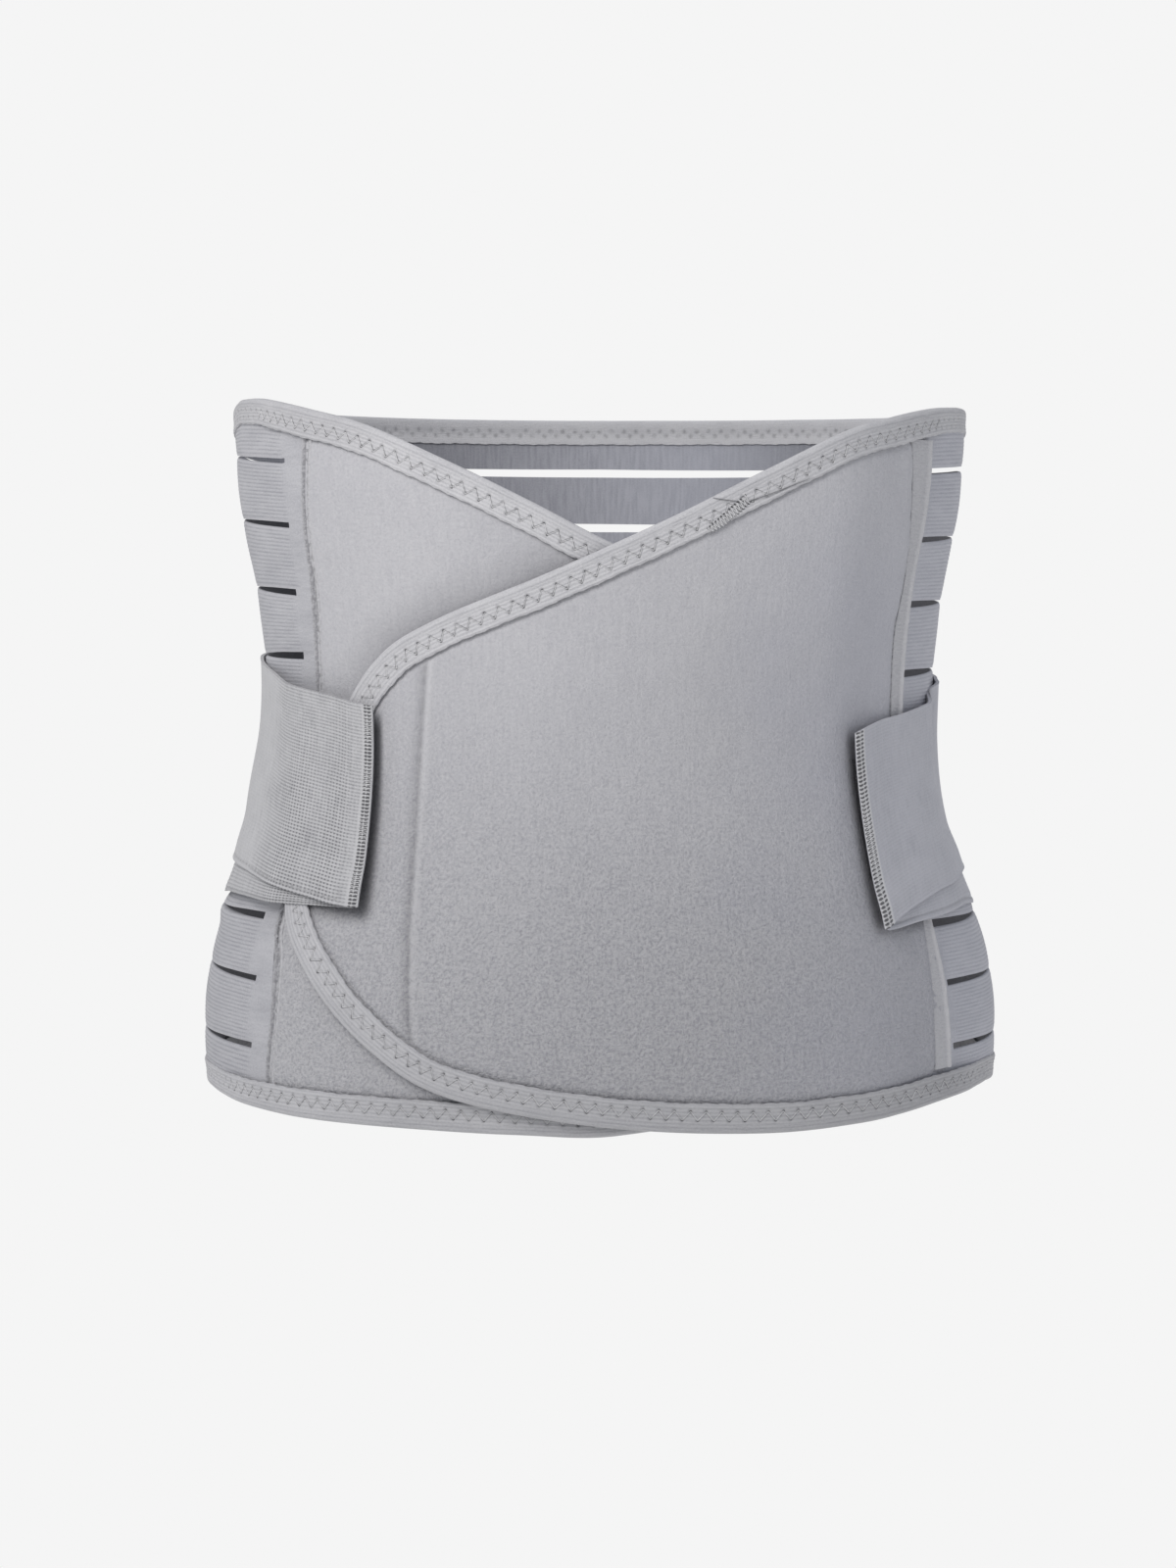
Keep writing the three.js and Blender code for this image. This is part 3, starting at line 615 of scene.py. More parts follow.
def elastic_finish():
    """Ribbed elastic: ribs along the strip, a knit of fine upright columns, and a plainer inside."""
    f = Finish("ribbed_elastic")
    u, v = f.cloth()
    inside = f.mark("inside")
    ribs = f.mark("ribs")
    groove = f.mark("groove")
    knit = (u + f.noise(u / 3.0, v / 3.0, 1.0, 0.5, 5.0) * 0.8).wave(1.15)
    grain = f.noise(u / 0.9, v / 0.7, 3.0, 0.7, 6.0) - 0.5
    patches = f.noise(u / 24.0, v / 9.0, 2.0, 0.5, 7.0) - 0.5
    broken = f.noise(u / 9.0, v / 1.6, 2.0, 0.55, 10.0)
    shade = 0.22 + grain * 0.75 + patches * 0.40
    # Painted shade in the rib grooves, in broken patches
    shade = shade + groove * ribs * (broken * 0.72 + 0.08) + knit * ribs * 0.08
    shade = shade + (1 - ribs) * broken * 0.36
    outside = f.blend(shade.smooth(0.0, 1.0), ELASTIC_LIGHT, ELASTIC_DARK)
    flecks = f.noise(u / 1.3, v / 0.7, 1.0, 0.5, 8.0).smooth(0.69, 0.76) * ribs * 0.6
    outside = f.blend(flecks, outside, THREAD_LIGHT)
    # Painted light, paler and cooler towards the right side of the back
    outside = f.blend((1 - u.smooth(150.0, 250.0)) * 0.19, outside, ELASTIC_COOL_LIGHT)
    columns = f.noise(u / 1.4, v / 14.0, 2.0, 0.6, 9.0)
    lining = f.blend((columns + grain * 0.7).smooth(0.25, 0.80), LINING_LIGHT, LINING_DARK)
    # Painted shade on the inside towards the left, and painted light towards the right
    lining = f.blend(u.smooth(375.0, 450.0) * 0.15, lining, SHADE_AND_HOLE)
    lining = f.blend((1 - u.smooth(300.0, 400.0)) * 0.32, lining, LINING_PAINTED_LIGHT)
    colour = f.blend(inside, outside, lining)
    colour = f.blend(f.mark("shade") * 0.90, colour, SHADE_AND_HOLE)
    height = grain * 0.30 + knit * ribs * 0.05 + columns * inside * 0.25
    return f.done(colour, 0.88, f.bump(height, 0.8), sheen=0.08, specular=0.15)


# Zigzag stitches of the edge tape: distances along the tape and in from its outer edge
ZIGZAG_PITCH = 5.8
ZIGZAG_OUTER = 5.1
ZIGZAG_INNER = 8.4
TAPE_CREASE = 2.3
TAPE_RIB_PITCH = 1.45

# The tape's UV counts down from here on the face against the body
UNDERSIDE_START = -2.0

# Dense stitching across the tape's two overlapping ends: half width, and pitch of its needle holes
TACK_HALF_WIDTH = 1.65
TACK_PITCH = 1.35


def nearest_hole(u, from_inner, from_outer):
    """Distance from the nearest needle hole of the zigzag, from the distances off its two rows."""
    inner_hole = u.off_from(ZIGZAG_PITCH).reach(from_inner)
    outer_hole = u.off_from(ZIGZAG_PITCH, ZIGZAG_PITCH / 2).reach(from_outer)
    return inner_hole.math("MINIMUM", outer_hole)


def tack_holes(u, v, start, end):
    """Needle holes of the dense stitching that runs from start to end across the tape."""
    length = math.hypot(end[0] - start[0], end[1] - start[1])
    heading = ((end[0] - start[0]) / length, (end[1] - start[1]) / length)
    from_u = u - (start[0] + end[0]) / 2
    from_v = v - (start[1] + end[1]) / 2
    along = from_u * heading[0] + from_v * heading[1]
    across = from_v * heading[0] - from_u * heading[1]
    holes = along.off_from(TACK_PITCH).reach(across.size() - TACK_HALF_WIDTH)
    return (1 - holes.smooth(0.24, 0.62)) * (1 - along.size().smooth(length / 2, length / 2 + 0.6))


def tape_finish(tack_start, tack_end):
    """Folded ribbed tape with needle holes, painted shade low down, and painted light at the back of the
    opening.
    """
    f = Finish("edge_tape_cloth")
    u, v = f.cloth()
    grain = f.noise(u / 0.8, v / 0.7, 3.0, 0.7, 11.0) - 0.5
    run = f.noise(u / 8.0, v / 0.55, 2.0, 0.55, 12.0) - 0.5
    patches = f.noise(u / 30.0, v / 20.0, 2.0, 0.5, 13.0) - 0.5
    # Painted shade in the grooves between the ribs and in the crease near the fold
    shade = 0.22 + grain * 0.85 + run * 0.60 + patches * 0.40 + f.mark("groove") * 0.34
    crease = 1 - (v - TAPE_CREASE + run * 0.3).size().smooth(0.10, 0.50)
    colour = f.blend((shade + crease * 0.25).smooth(0.0, 1.0), TAPE_LIGHT, TAPE_DARK)
    stitched = f.mark("stitched")
    climb = (ZIGZAG_INNER - v) / (ZIGZAG_INNER - ZIGZAG_OUTER)
    beside = (u.off_from(ZIGZAG_PITCH) - climb * (ZIGZAG_PITCH / 2) + 0.28).size()
    between = climb.smooth(-0.05, 0.05) * (1 - climb.smooth(0.95, 1.05))
    broken = f.noise(u / 2.3, v / 2.3, 2.0, 0.5, 16.0).smooth(0.34, 0.60)
    # Painted shade low down, and painted light on the inside at the back of the opening
    colour = f.blend(f.mark("low") * 0.24, colour, SHADE_AND_HOLE)
    colour = f.blend(f.mark("pale") * 0.22, colour, TAPE_PAINTED_LIGHT)
    # Painted shadow beside the zigzag thread's slanting legs
    line = (1 - beside.smooth(0.12, 0.46)) * between * (broken * 0.42 + 0.08)
    colour = f.blend(line * stitched, colour, SHADE_AND_HOLE)
    unsteady = u + (f.noise(u / 4.0, v / 4.0, 1.0, 0.5, 14.0) * 0.5 - 0.25)
    nearest = nearest_hole(unsteady, v - ZIGZAG_INNER, v - ZIGZAG_OUTER)
    depth = f.noise(u / 9.0, v / 9.0, 1.0, 0.5, 15.0).smooth(0.30, 0.60)
    hole = (1 - nearest.smooth(0.26, 0.70)) * (depth * 0.60 + 0.40) * stitched
    within = UNDERSIDE_START - v
    under = nearest_hole(unsteady, within - ZIGZAG_INNER + 1.1, within - ZIGZAG_OUTER)
    hole = hole.math("MAXIMUM", (1 - under.smooth(0.1, 1.8)) * (broken * 0.30 + 0.12))
    hole = hole.math("MAXIMUM", tack_holes(u, v, tack_start, tack_end))
    # The crease mark is painted shade along the cut edge of the overlapping end
    hole = hole.math("MAXIMUM", f.mark("crease"))
    colour = f.blend(hole * 0.92, colour, SHADE_AND_HOLE)
    dimple = 1 - nearest.smooth(0.2, 1.3)
    height = grain * 0.34 + run * 0.24 - dimple * 0.6
    return f.done(colour, 0.9, f.bump(height, 0.8), sheen=0.10, specular=0.12)


def webbing_finish(name, hole_rows, hole_pitch, hole_squash, rib_contrast, pale_hem, texture, tint):
    """Elastic webbing: fine ribs of broken dashes, columns of small gaps, and needle holes in its hem."""
    f = Finish(name)
    u, v = f.cloth()
    dots = f.mark("dots")
    hem = f.mark("hem")
    grain = f.noise(u / 0.8, v / 0.7, 3.0, 0.7, 21.0) - 0.5
    streaks = f.noise(u / 1.7, v / 9.0, 2.0, 0.65, 22.0) - 0.5
    patches = f.noise(u / 22.0, v / 14.0, 2.0, 0.5, 23.0) - 0.5
    groove = v.wave(WEBBING_PITCH)
    row = (v / WEBBING_PITCH).math("FLOOR")
    dash = (u + row * 0.85 + streaks * 1.2).wave(1.7)
    ribs = groove * (0.62 + dash * 0.38) * f.mark("groove")
    gaps = (groove * u.wave(1.5)).smooth(0.30, 0.80) * dots
    shade = 0.16 + (grain * 0.80 + streaks * 0.65 + patches * 0.40) * texture + ribs * rib_contrast
    colour = f.blend(shade.smooth(0.0, 1.0), WEBBING_LIGHT, WEBBING_DARK)
    colour = f.blend(tint, colour, WEBBING_COOL)
    colour = f.blend(gaps * 0.60, colour, WEBBING_GAP)
    # Painted shade in creases and hollows, with the stitch loops and tack dashes drawn in the same mark
    colour = f.blend(f.mark("crease") * 0.85, colour, SHADE_AND_HOLE)
    colour = f.blend(hem * pale_hem, colour, THREAD_LIGHT)
    spots = []
    for place in hole_rows:
        spots.append(1 - v.off_from(hole_pitch).reach((u - place) * hole_squash).smooth(0.34, 0.66))
    hole = spots[0].math("MAXIMUM", spots[1]) * hem
    colour = f.blend(hole * 0.84, colour, SHADE_AND_HOLE)
    height = grain * 0.26 + streaks * 0.20 - gaps * 0.30 - hole * 0.8
    return f.done(colour, 0.86, f.bump(height, 0.8), sheen=0.08, specular=0.15)


def seam_finish(name, lines):
    """Stay tape of a side seam: plush pile caught by dense cross stitches, with soft dark lines of
    painted shade.

    Each line is (millimetres from the strip's left edge, half width, darkness, wobble).
    """
    f = Finish(name)
    u, v = f.cloth()
    grain = f.noise(u / 0.8, v / 0.9, 3.0, 0.75, 31.0) - 0.5
    crossed = f.noise(u / 2.6, v / 0.8, 2.0, 0.6, 32.0) - 0.5
    bend = f.noise(u * 0.0, v / 2.6, 3.0, 0.7, 33.0) - 0.5
    breaks = f.noise(u / 1.2, v / 2.0, 3.0, 0.7, 34.0)
    # The ridge mark is a painted highlight
    shade = 0.36 + grain * 0.80 + crossed * 0.75 - f.mark("ridge") * 0.50
    colour = f.blend(shade.smooth(0.0, 1.0), PLUSH_LIGHT, PLUSH_DARK)
    for place, half_width, darkness, wobble in lines:
        off = (u - place + bend * wobble).size() + grain * half_width * 1.3
        line = (1 - off.smooth(half_width * 0.10, half_width)) * (0.35 + breaks.smooth(0.34, 0.58) * 0.65)
        colour = f.blend(line * darkness, colour, SEAM_SHADOW)
    height = grain * 0.42 + crossed * 0.40
    return f.done(colour, 0.93, f.bump(height, 0.9), sheen=0.15, specular=0.10)


def thread_finish():
    """Sewing thread, with its fine twist."""
    f = Finish("sewing_thread")
    place = f.node("ShaderNodeTexCoord", None, None, "Object")
    fine = f.node("ShaderNodeTexNoise", None, {"Vector": place, "Scale": 1800.0, "Detail": 2.0})
    broad = f.node("ShaderNodeTexNoise", None, {"Vector": place, "Scale": 90.0, "Detail": 1.0})
    colour = f.blend((fine * 0.55 + broad * 0.45).smooth(0.34, 0.66), THREAD_DARK, THREAD_LIGHT)
    return f.done(colour, 0.75, f.bump(fine * 0.12, 0.6), sheen=0.05, specular=0.3)


def hook_finish():
    """Moulded hook tape: tiny bent hooks on a matt ground, its dark grey deepened as painted shade under
    the strap ends.
    """
    f = Finish("hook_tape")
    place = f.node("ShaderNodeTexCoord", None, None, "Object")
    cells = f.node("ShaderNodeTexVoronoi", None, {"Vector": place, "Scale": 900.0, "Randomness": 0.35})
    broad = f.node("ShaderNodeTexNoise", None, {"Vector": place, "Scale": 60.0, "Detail": 2.0})
    stalk = 1 - cells.smooth(0.12, 0.42)
    colour = f.blend(stalk * 0.6 + broad * 0.3, HOOK_GROUND_SHADED, HOOK_TIP_SHADED)
    return f.done(colour, 0.55, f.bump(stalk * 0.5, 0.8), specular=0.4)


def even_rows(low, high, count):
    """Heights from low to high for every column."""
    share = np.linspace(0.0, 1.0, count)
    return low[:, None] + (high - low)[:, None] * share


def back_edges(turns):
    """Heights of every strip's edges from the bottom of the back up, and the end columns of its slots."""
    edges = [np.interp(turns, BACK_BOTTOM[:, 0], BACK_BOTTOM[:, 1]) + CLOTH_INSET]
    ends = []
    for number, (heights, right_end, left_end) in reversed(list(enumerate(SLOTS))):
        gaps = TOP_SLOT_GAPS if number == 0 else SLOT_GAPS
        at_sides = 1 - ease(180 - abs(turns - 180), 96, 126)
        half_gap = np.interp(turns, GAP_TURNS, gaps) / 2 * (1 + (SIDE_GAPS[number] - 1) * at_sides)
        wander = 0.3 * np.sin(np.radians(turns * 3.1) + heights[0])
        middle = np.interp(turns, SLOT_TURNS, heights) + wander
        edges += [middle - half_gap, middle + half_gap]
        ends.append((int(np.argmin(abs(turns - right_end))), int(np.argmin(abs(turns - left_end)))))
    edges.append(np.interp(turns, BACK_TOP[:, 0], BACK_TOP[:, 1]) - CLOTH_INSET)
    return edges, ends


def back_strip(turns, low, high, right_end, left_end):
    """Outer face of one ribbed strip between two slots: heights, distance out, groove and rib marks."""
    height = float(np.mean(high - low))
    rib_count = max(int(round(height / RIB_PITCH)), 1)
    z = even_rows(low, high, rib_count * ROWS_PER_RIB + 1)
    share = np.linspace(0.0, 1.0, z.shape[1])[None, :]
    after_right = ease(turns, right_end - 0.4, right_end + 2.0)
    before_left = 1 - ease(turns, left_end - 2.0, left_end + 0.4)
    shown = by_column(after_right * before_left, z)
    wave = np.cos(share * rib_count * 2 * math.pi) * np.ones(z.shape)
    to_edge = np.minimum(share, 1 - share) * height
    fade = 0.75 + 0.25 * soft_waves(arc_mm(turns)[:, None], z, 34.0, 41)
    out = -RIB_HEIGHT * wave * shown * fade
    out += (0.35 * np.sin(share * math.pi) - 0.45 * bell(to_edge, 0.7)) * shown
    return z, out, (wave + 1) / 2, shown


def roll_below_strap(turn, z):
    """How far the elastic swells out in a roll below the left strap, at the body's side."""
    return 2.3 * bell(z + 93.5, 5.0) * ease(turn, 256, 268) * (1 - ease(turn, 284, 298))


def lining_shade(turn, z):
    """Shade inside the binder's two sides, weaker above the top slot at the left."""
    above_slot = (0.35 + 0.55 * ease(turn, 222, 245)) * ease(z, 72, 80)
    left_side = (1 - ease(360 - turn, 112, 188)) * (1 - above_slot)
    return np.maximum(1 - ease(turn, 112, 172), left_side)


def make_back_elastic(material):
    """The ribbed back, with its ten slots cut right through."""
    turns = np.concatenate([
        np.arange(48.0, 53.9, 0.9), np.arange(54.0, 61.0, 0.4), np.arange(61.0, 112.0, 2.2),
        np.arange(112.0, 248.0, 3.1), np.arange(248.0, 299.0, 2.2), np.arange(299.0, 309.0, 0.4),
        np.arange(309.0, 312.4, 0.8),
    ])
    edges, slot_ends = back_edges(turns)
    columns = ("z", "out", "groove", "ribs", "inner")
    parts = {name: [] for name in columns}
    holes = []
    rows = 0
    inner_rows = 0
    for band in range(len(edges) - 1):
        low, high = edges[band], edges[band + 1]
        is_slot = band % 2 == 1
        if is_slot:
            z = even_rows(low, high, 3)
            plain = np.zeros(z.shape)
            made = (z, np.full(z.shape, -0.15), plain, plain, z)
            holes.append(slot_ends[band // 2] + (rows, rows + 2, inner_rows, inner_rows + 2))
        else:
            right_end, left_end = turns[list(slot_ends[min(band // 2, len(slot_ends) - 1)])]
            made = back_strip(turns, low, high, right_end, left_end) + (even_rows(low, high, 6),)
        first = min(band, 1)
        for name, values in zip(columns, made):
            parts[name].append(values[:, first:])
        rows += made[0].shape[1] - 1
        inner_rows += made[4].shape[1] - 1
    whole = {name: np.concatenate(values, axis=1) for name, values in parts.items()}
    rise = 0.5 * (1 - ease(turns, 49, 58)) + 0.7 * ease(turns, 303, 309)
    z = whole["z"]
    turn = by_column(turns, z)
    z_in = whole["inner"]
    turn_in = by_column(turns, z_in)
    outer = body_point(turn, z, ELASTIC_WALL + whole["out"] + rise[:, None] + roll_below_strap(turn, z))
    inner = body_point(turn_in, z_in, 0.05 * soft_waves(arc_mm(turn_in), z_in, 30.0, 42))
    marks = {"groove": whole["groove"], "ribs": whole["ribs"]}
    inner_marks = {"shade": lining_shade(turn_in, z_in)}
    return cloth_shell(
        "elastic_back", outer, inner, cloth_uv(turn, z), cloth_uv(turn_in, z_in), marks, material,
        holes, inner_marks,
    )


def heights_at(path, turns):
    """Lowest and highest point of an outline at each turn."""
    tip = int(np.argmax(abs(path[:, 0] - path[0, 0])))
    parts = [path[:tip + 1], path[tip:]]
    found = []
    for part in parts:
        order = np.argsort(part[:, 0])
        found.append(np.interp(turns, part[order, 0], part[order, 1]))
    return np.minimum(*found), np.maximum(*found)


def press_by_tape(distance, along):
    """How far the plush dips beside the edge tape, with small puckers between the stitches."""
    dip = 0.75 * bell(distance - TAPE_WIDTH, 1.3)
    under = 0.5 * (1 - ease(distance, TAPE_WIDTH - 1.5, TAPE_WIDTH - 0.3))
    pucker = 0.10 * np.sin(along) * bell(distance - TAPE_WIDTH - 3, 4.5)
    return -(dip + under) + pucker


def over_flap_columns(tip):
    """Turns of the over flap's columns, close together along its closure seam."""
    share = np.linspace(0.0, 1.0, 30, endpoint=False)
    toward_seam = tip + (-28.5 - tip) * (0.4 * share ** 2 + 0.6 * share)
    return np.concatenate([toward_seam, np.arange(-28.5, -23.0, 0.13), np.linspace(-23.0, OVER_END, 118)])


def make_over_flap(material):
    """The plush flap that closes over the other one, with the seam that holds its hook tape."""
    outline = smooth_outline(OVER_OUTLINE)
    cloth_edge = inset_path(outline, CLOTH_INSET)
    turns = over_flap_columns(cloth_edge[:, 0].min() + 0.12)

    def placed(rows):
        low, high = heights_at(cloth_edge, turns)
        z = even_rows(low, high, rows)
        turn = by_column(turns, z)
        turn = turn + (smooth_read(CLOSURE_SEAM, z) - CLOSURE_MIDDLE) * bell(turn - CLOSURE_MIDDLE, 8.0)
        turn = turn + (smooth_read(RIGHT_SEAM_RIDGE, z) - 0.4 - OVER_END) * ease(turn, 42, OVER_END)
        return turn, z

    turn, z = placed(146)
    x = arc_mm(turn)
    distance = distance_to(outline, turn, z)
    rise = (0.45 * soft_waves(x, z, 85.0, 51) + 0.16 * soft_waves(x, z, 26.0, 52)) * ease(distance, 8, 34)
    rise += press_by_tape(distance, (x + z) * 2 * math.pi / PUCKER_PITCH)
    seam = (turn - smooth_read(CLOSURE_SEAM, z)) * mm_per_degree(turn, z)
    wobble = 0.14 * soft_waves(x * 0.0, z, 9.0, 53)
    seam_shown = ease(distance, 11.0, 14.0) * (1 - ease(z, 8, 14))
    ridge_and_line = 0.80 * bell(seam - 2.6, 1.7) - 0.60 * bell(seam - wobble, 1.0)
    rise += seam_shown * (ridge_and_line - 0.25 * bell(seam + 1.8, 1.8))
    # Painted shade along the closure seam's line, broken along its length, and beside it
    broken = 0.72 + 0.28 * soft_waves(x * 0.0, z, 5.0, 54)
    crease = seam_shown * (0.46 * bell(seam - wobble, 0.8) * broken + 0.30 * bell(seam + 1.2, 2.0))
    side = (turn - smooth_read(RIGHT_SEAM_LINE, z)) * mm_per_degree(turn, z)
    rise -= 0.9 * ease(side, -1.2, 0.6)
    outer = body_point(turn, z, over_lift(turn) + PLUSH_WALL + rise)
    inner_turn, inner_z = placed(40)
    inner = body_point(inner_turn, inner_z, over_lift(inner_turn))
    uv = cloth_uv(turn, z)
    uv_in = cloth_uv(inner_turn, inner_z)
    # The ridge mark is a painted highlight on the seam's raised ridge
    marks = {"crease": np.clip(crease, 0, 1), "ridge": seam_shown * bell(seam - 2.7, 1.6)}
    return cloth_shell("plush_over_flap", outer, inner, uv, uv_in, marks, material)


def make_under_flap(material):
    """The plush flap that lies under the other one."""
    outline = smooth_outline(UNDER_OUTLINE)
    cloth_edge = inset_path(outline, CLOTH_INSET)
    tip = cloth_edge[:, 0].max() - 0.12
    share = np.linspace(0.0, 1.0, 150)
    turns = tip - (tip - UNDER_END) * (0.35 * share ** 2 + 0.65 * share)
    turns = turns[::-1]

    def beside_seam(turn, z):
        """Turns moved so that the last columns end along the side seam."""
        return turn + (smooth_read(LEFT_SEAM, z) - 0.3 - UNDER_END) * (1 - ease(turn, UNDER_END, 320))

    low, _ = heights_at(cloth_edge, beside_seam(turns, LEFT_SEAM[0, 0]))
    _, high = heights_at(cloth_edge, beside_seam(turns, LEFT_SEAM[-1, 0]))
    z = even_rows(low, high, 146)
    turn = beside_seam(by_column(turns, z), z)
    x = arc_mm(turn)
    distance = distance_to(outline, turn, z)
    rise = (0.40 * soft_waves(x, z, 80.0, 61) + 0.14 * soft_waves(x, z, 24.0, 62)) * ease(distance, 8, 34)
    rise += press_by_tape(distance, (x - z) * 2 * math.pi / PUCKER_PITCH)
    side = (turn - smooth_read(LEFT_SEAM, z)) * mm_per_degree(turn, z)
    rise -= 1.0 * (1 - ease(side, -0.5, 4.5))
    outer = body_point(turn, z, UNDER_TOP + rise)
    inner_z = even_rows(low, high, 40)
    inner_turn = beside_seam(by_column(turns, inner_z), inner_z)
    inner = body_point(inner_turn, inner_z, UNDER_LAYER)
    uv = cloth_uv(turn - 360, z)
    uv_in = cloth_uv(inner_turn - 360, inner_z)
    # Painted shadow of the over flap's edge on the under flap, from the middle up
    to_over = distance_to(smooth_outline(OVER_OUTLINE), turn - 360, z)
    marks = {"crease": 0.34 * (1 - ease(to_over, 2, 18)) * ease(z, -30, 20)}
    return cloth_shell("plush_under_flap", outer, inner, uv, uv_in, marks, material)


def tape_loop():
    """The closed line of the edge tape: turn, height, inward direction, and length so far."""
    over = smooth_outline(OVER_OUTLINE, 1400)
    under = smooth_outline(UNDER_OUTLINE, 1300)
    lower = np.arange(72.8, 288, 0.8)
    upper = lower[::-1]
    bottom = np.stack([lower, np.interp(lower, BACK_BOTTOM[:, 0], BACK_BOTTOM[:, 1])], axis=1)
    top = np.stack([upper, np.interp(upper, BACK_TOP[:, 0], BACK_TOP[:, 1])], axis=1)
    loop = np.concatenate([over[:-1], bottom, under[:-1], top])
    wrap = np.concatenate([loop[-1:], loop, loop[:1]])
    inward = inward_of(wrap[2:] - wrap[:-2], loop)
    closed = np.concatenate([loop, loop[:1]])
    run = length_so_far(body_point(closed[:, 0], closed[:, 1], 5.0))
    return closed, np.concatenate([inward, inward[:1]]), run


LOOP, LOOP_INWARD, LOOP_RUN = tape_loop()
LOOP_LENGTH = LOOP_RUN[-1]
ZIGZAG_COUNT = int(round(LOOP_LENGTH / ZIGZAG_PITCH))
ZIGZAG_STEP = LOOP_LENGTH / ZIGZAG_COUNT


def tape_place(turn, z):
    """Length along the tape and depth in from its edge, for a place on the cloth."""
    reach = np.hypot((LOOP[:, 0] - turn) * mm_per_degree(turn, z), LOOP[:, 1] - z)
    nearest = int(np.argmin(reach))
    return LOOP_RUN[nearest], reach[nearest]


# Where the tape's two ends overlap on the over flap, by turn and height: the inner edge of the
# upper end as far as its cut corner, and the two ends of the dense stitching across it
JOIN_EDGE = (
    (30.4, 79.7), (27.0, 76.3), (23.1, 72.5), (20.3, 69.8), (18.3, 69.8), (16.6, 70.4), (15.0, 70.9),
)
JOIN_PATH = np.array([tape_place(turn, z) for turn, z in JOIN_EDGE])
TACK_START = tape_place(15.0, 58.6)
TACK_END = tape_place(19.9, 70.9)
JOIN_WALL = 0.55


def join_rise(u, depth):
    """How much the overlapping end raises the face of the tape."""
    limit = np.interp(u, JOIN_PATH[:, 0], JOIN_PATH[:, 1], left=0.0, right=0.0)
    return JOIN_WALL * ease(u - JOIN_PATH[0, 0], 0.0, 14.0) * ease(limit - depth, 0.0, 0.25)


def tape_profile(depth, u):
    """Height of the tape's outer face above the cloth in it, across its width."""
    roll = 0.55 * bell(depth - 1.2, 1.1)
    flat = 1.15 * ease(depth, -0.6, 2.6)
    crease = -0.16 * bell(depth - TAPE_CREASE, 0.40)
    ribbed = ease(depth, 2.8, 3.8) * (1 - ease(depth, TAPE_WIDTH - 1.0, TAPE_WIDTH - 0.2))
    ribs = 0.08 * np.cos(depth * 2 * math.pi / TAPE_RIB_PITCH) * ribbed
    pull = -0.18 * bell(depth - (ZIGZAG_OUTER + ZIGZAG_INNER) / 2, 2.4)
    pucker = 0.12 * np.sin(u * 2 * math.pi / ZIGZAG_STEP) * bell(depth - TAPE_WIDTH + 1.2, 1.8)
    edge = -0.30 * ease(depth, TAPE_WIDTH - 0.7, TAPE_WIDTH)
    return roll + flat + crease + ribs + pull + pucker + edge


def on_tape(u, depth, side, lift):
    """Point on the tape at a length along it and a depth in from its edge, with its turn and height.

    Side is 0 on the face against the body and 1 on the outer face.
    """
    u, depth, side, lift = np.broadcast_arrays(np.mod(u, LOOP_LENGTH), depth, side, lift)
    turn = np.interp(u, LOOP_RUN, LOOP[:, 0])
    z = np.interp(u, LOOP_RUN, LOOP[:, 1])
    in_x = np.interp(u, LOOP_RUN, LOOP_INWARD[:, 0])
    in_z = np.interp(u, LOOP_RUN, LOOP_INWARD[:, 1])
    from_front = 180 - abs(np.mod(turn, 360) - 180)
    depth = depth * (1 - 0.12 * ease(from_front, 44, 72) * (1 - ease(from_front, 110, 130)))
    turn = turn + depth * in_x / mm_per_degree(turn, z)
    z = z + depth * in_z
    inner = smooth_read(WRAPPED, turn, 1)
    outer = smooth_read(WRAPPED, turn, 2)
    out = inner + (outer - inner) * side + lift
    return body_point(turn, z, out), turn, z


def tape_groove(depth):
    return 0.5 - 0.5 * np.cos(depth * 2 * math.pi / TAPE_RIB_PITCH) * ease(depth, 2.8, 3.8)


def stitches_shown(turn):
    """1 where the zigzag shows: it sinks into the tape where that runs over the elastic's sides."""
    side = 180 - abs(np.mod(turn, 360) - 180)
    return 1 - 0.95 * ease(side, 57, 65) * (1 - ease(side, 100, 112))


# Cross section of the folded tape, in points: face against the body, fold, outer face, and the
# hollow that holds the cloth
INNER_POINTS = 8
FOLD_POINTS = 11
FACE_POINTS = 27
FACE_START = INNER_POINTS + FOLD_POINTS
FOLD_PART = slice(INNER_POINTS, FACE_START)
FACE_PART = slice(FACE_START, FACE_START + FACE_POINTS)
FOLD_ANGLES = np.radians(np.linspace(-90, 90, FOLD_POINTS))
FOLD_REACH = 2.1
FLAT_FROM = 2.6


def binding_section():
    """Depth in from the tape's edge and side of each point of its cross section."""
    to_hem = np.linspace(FLAT_FROM, TAPE_WIDTH - 0.6, FACE_POINTS - 2)
    depth = np.concatenate([
        np.linspace(TAPE_WIDTH, FLAT_FROM, INNER_POINTS), FOLD_REACH * (1 - np.cos(FOLD_ANGLES)), to_hem,
        [TAPE_WIDTH - 0.2, TAPE_WIDTH], [TAPE_WIDTH, TAPE_WIDTH - 1.0, 4.0, 4.0, TAPE_WIDTH - 1.0],
    ])
    side = np.concatenate([
        np.zeros(INNER_POINTS), 0.5 + 0.5 * np.sin(FOLD_ANGLES), np.ones(FACE_POINTS),
        [1.0, 1.0, 0.9, 0.1, 0.0],
    ])
    return depth, side


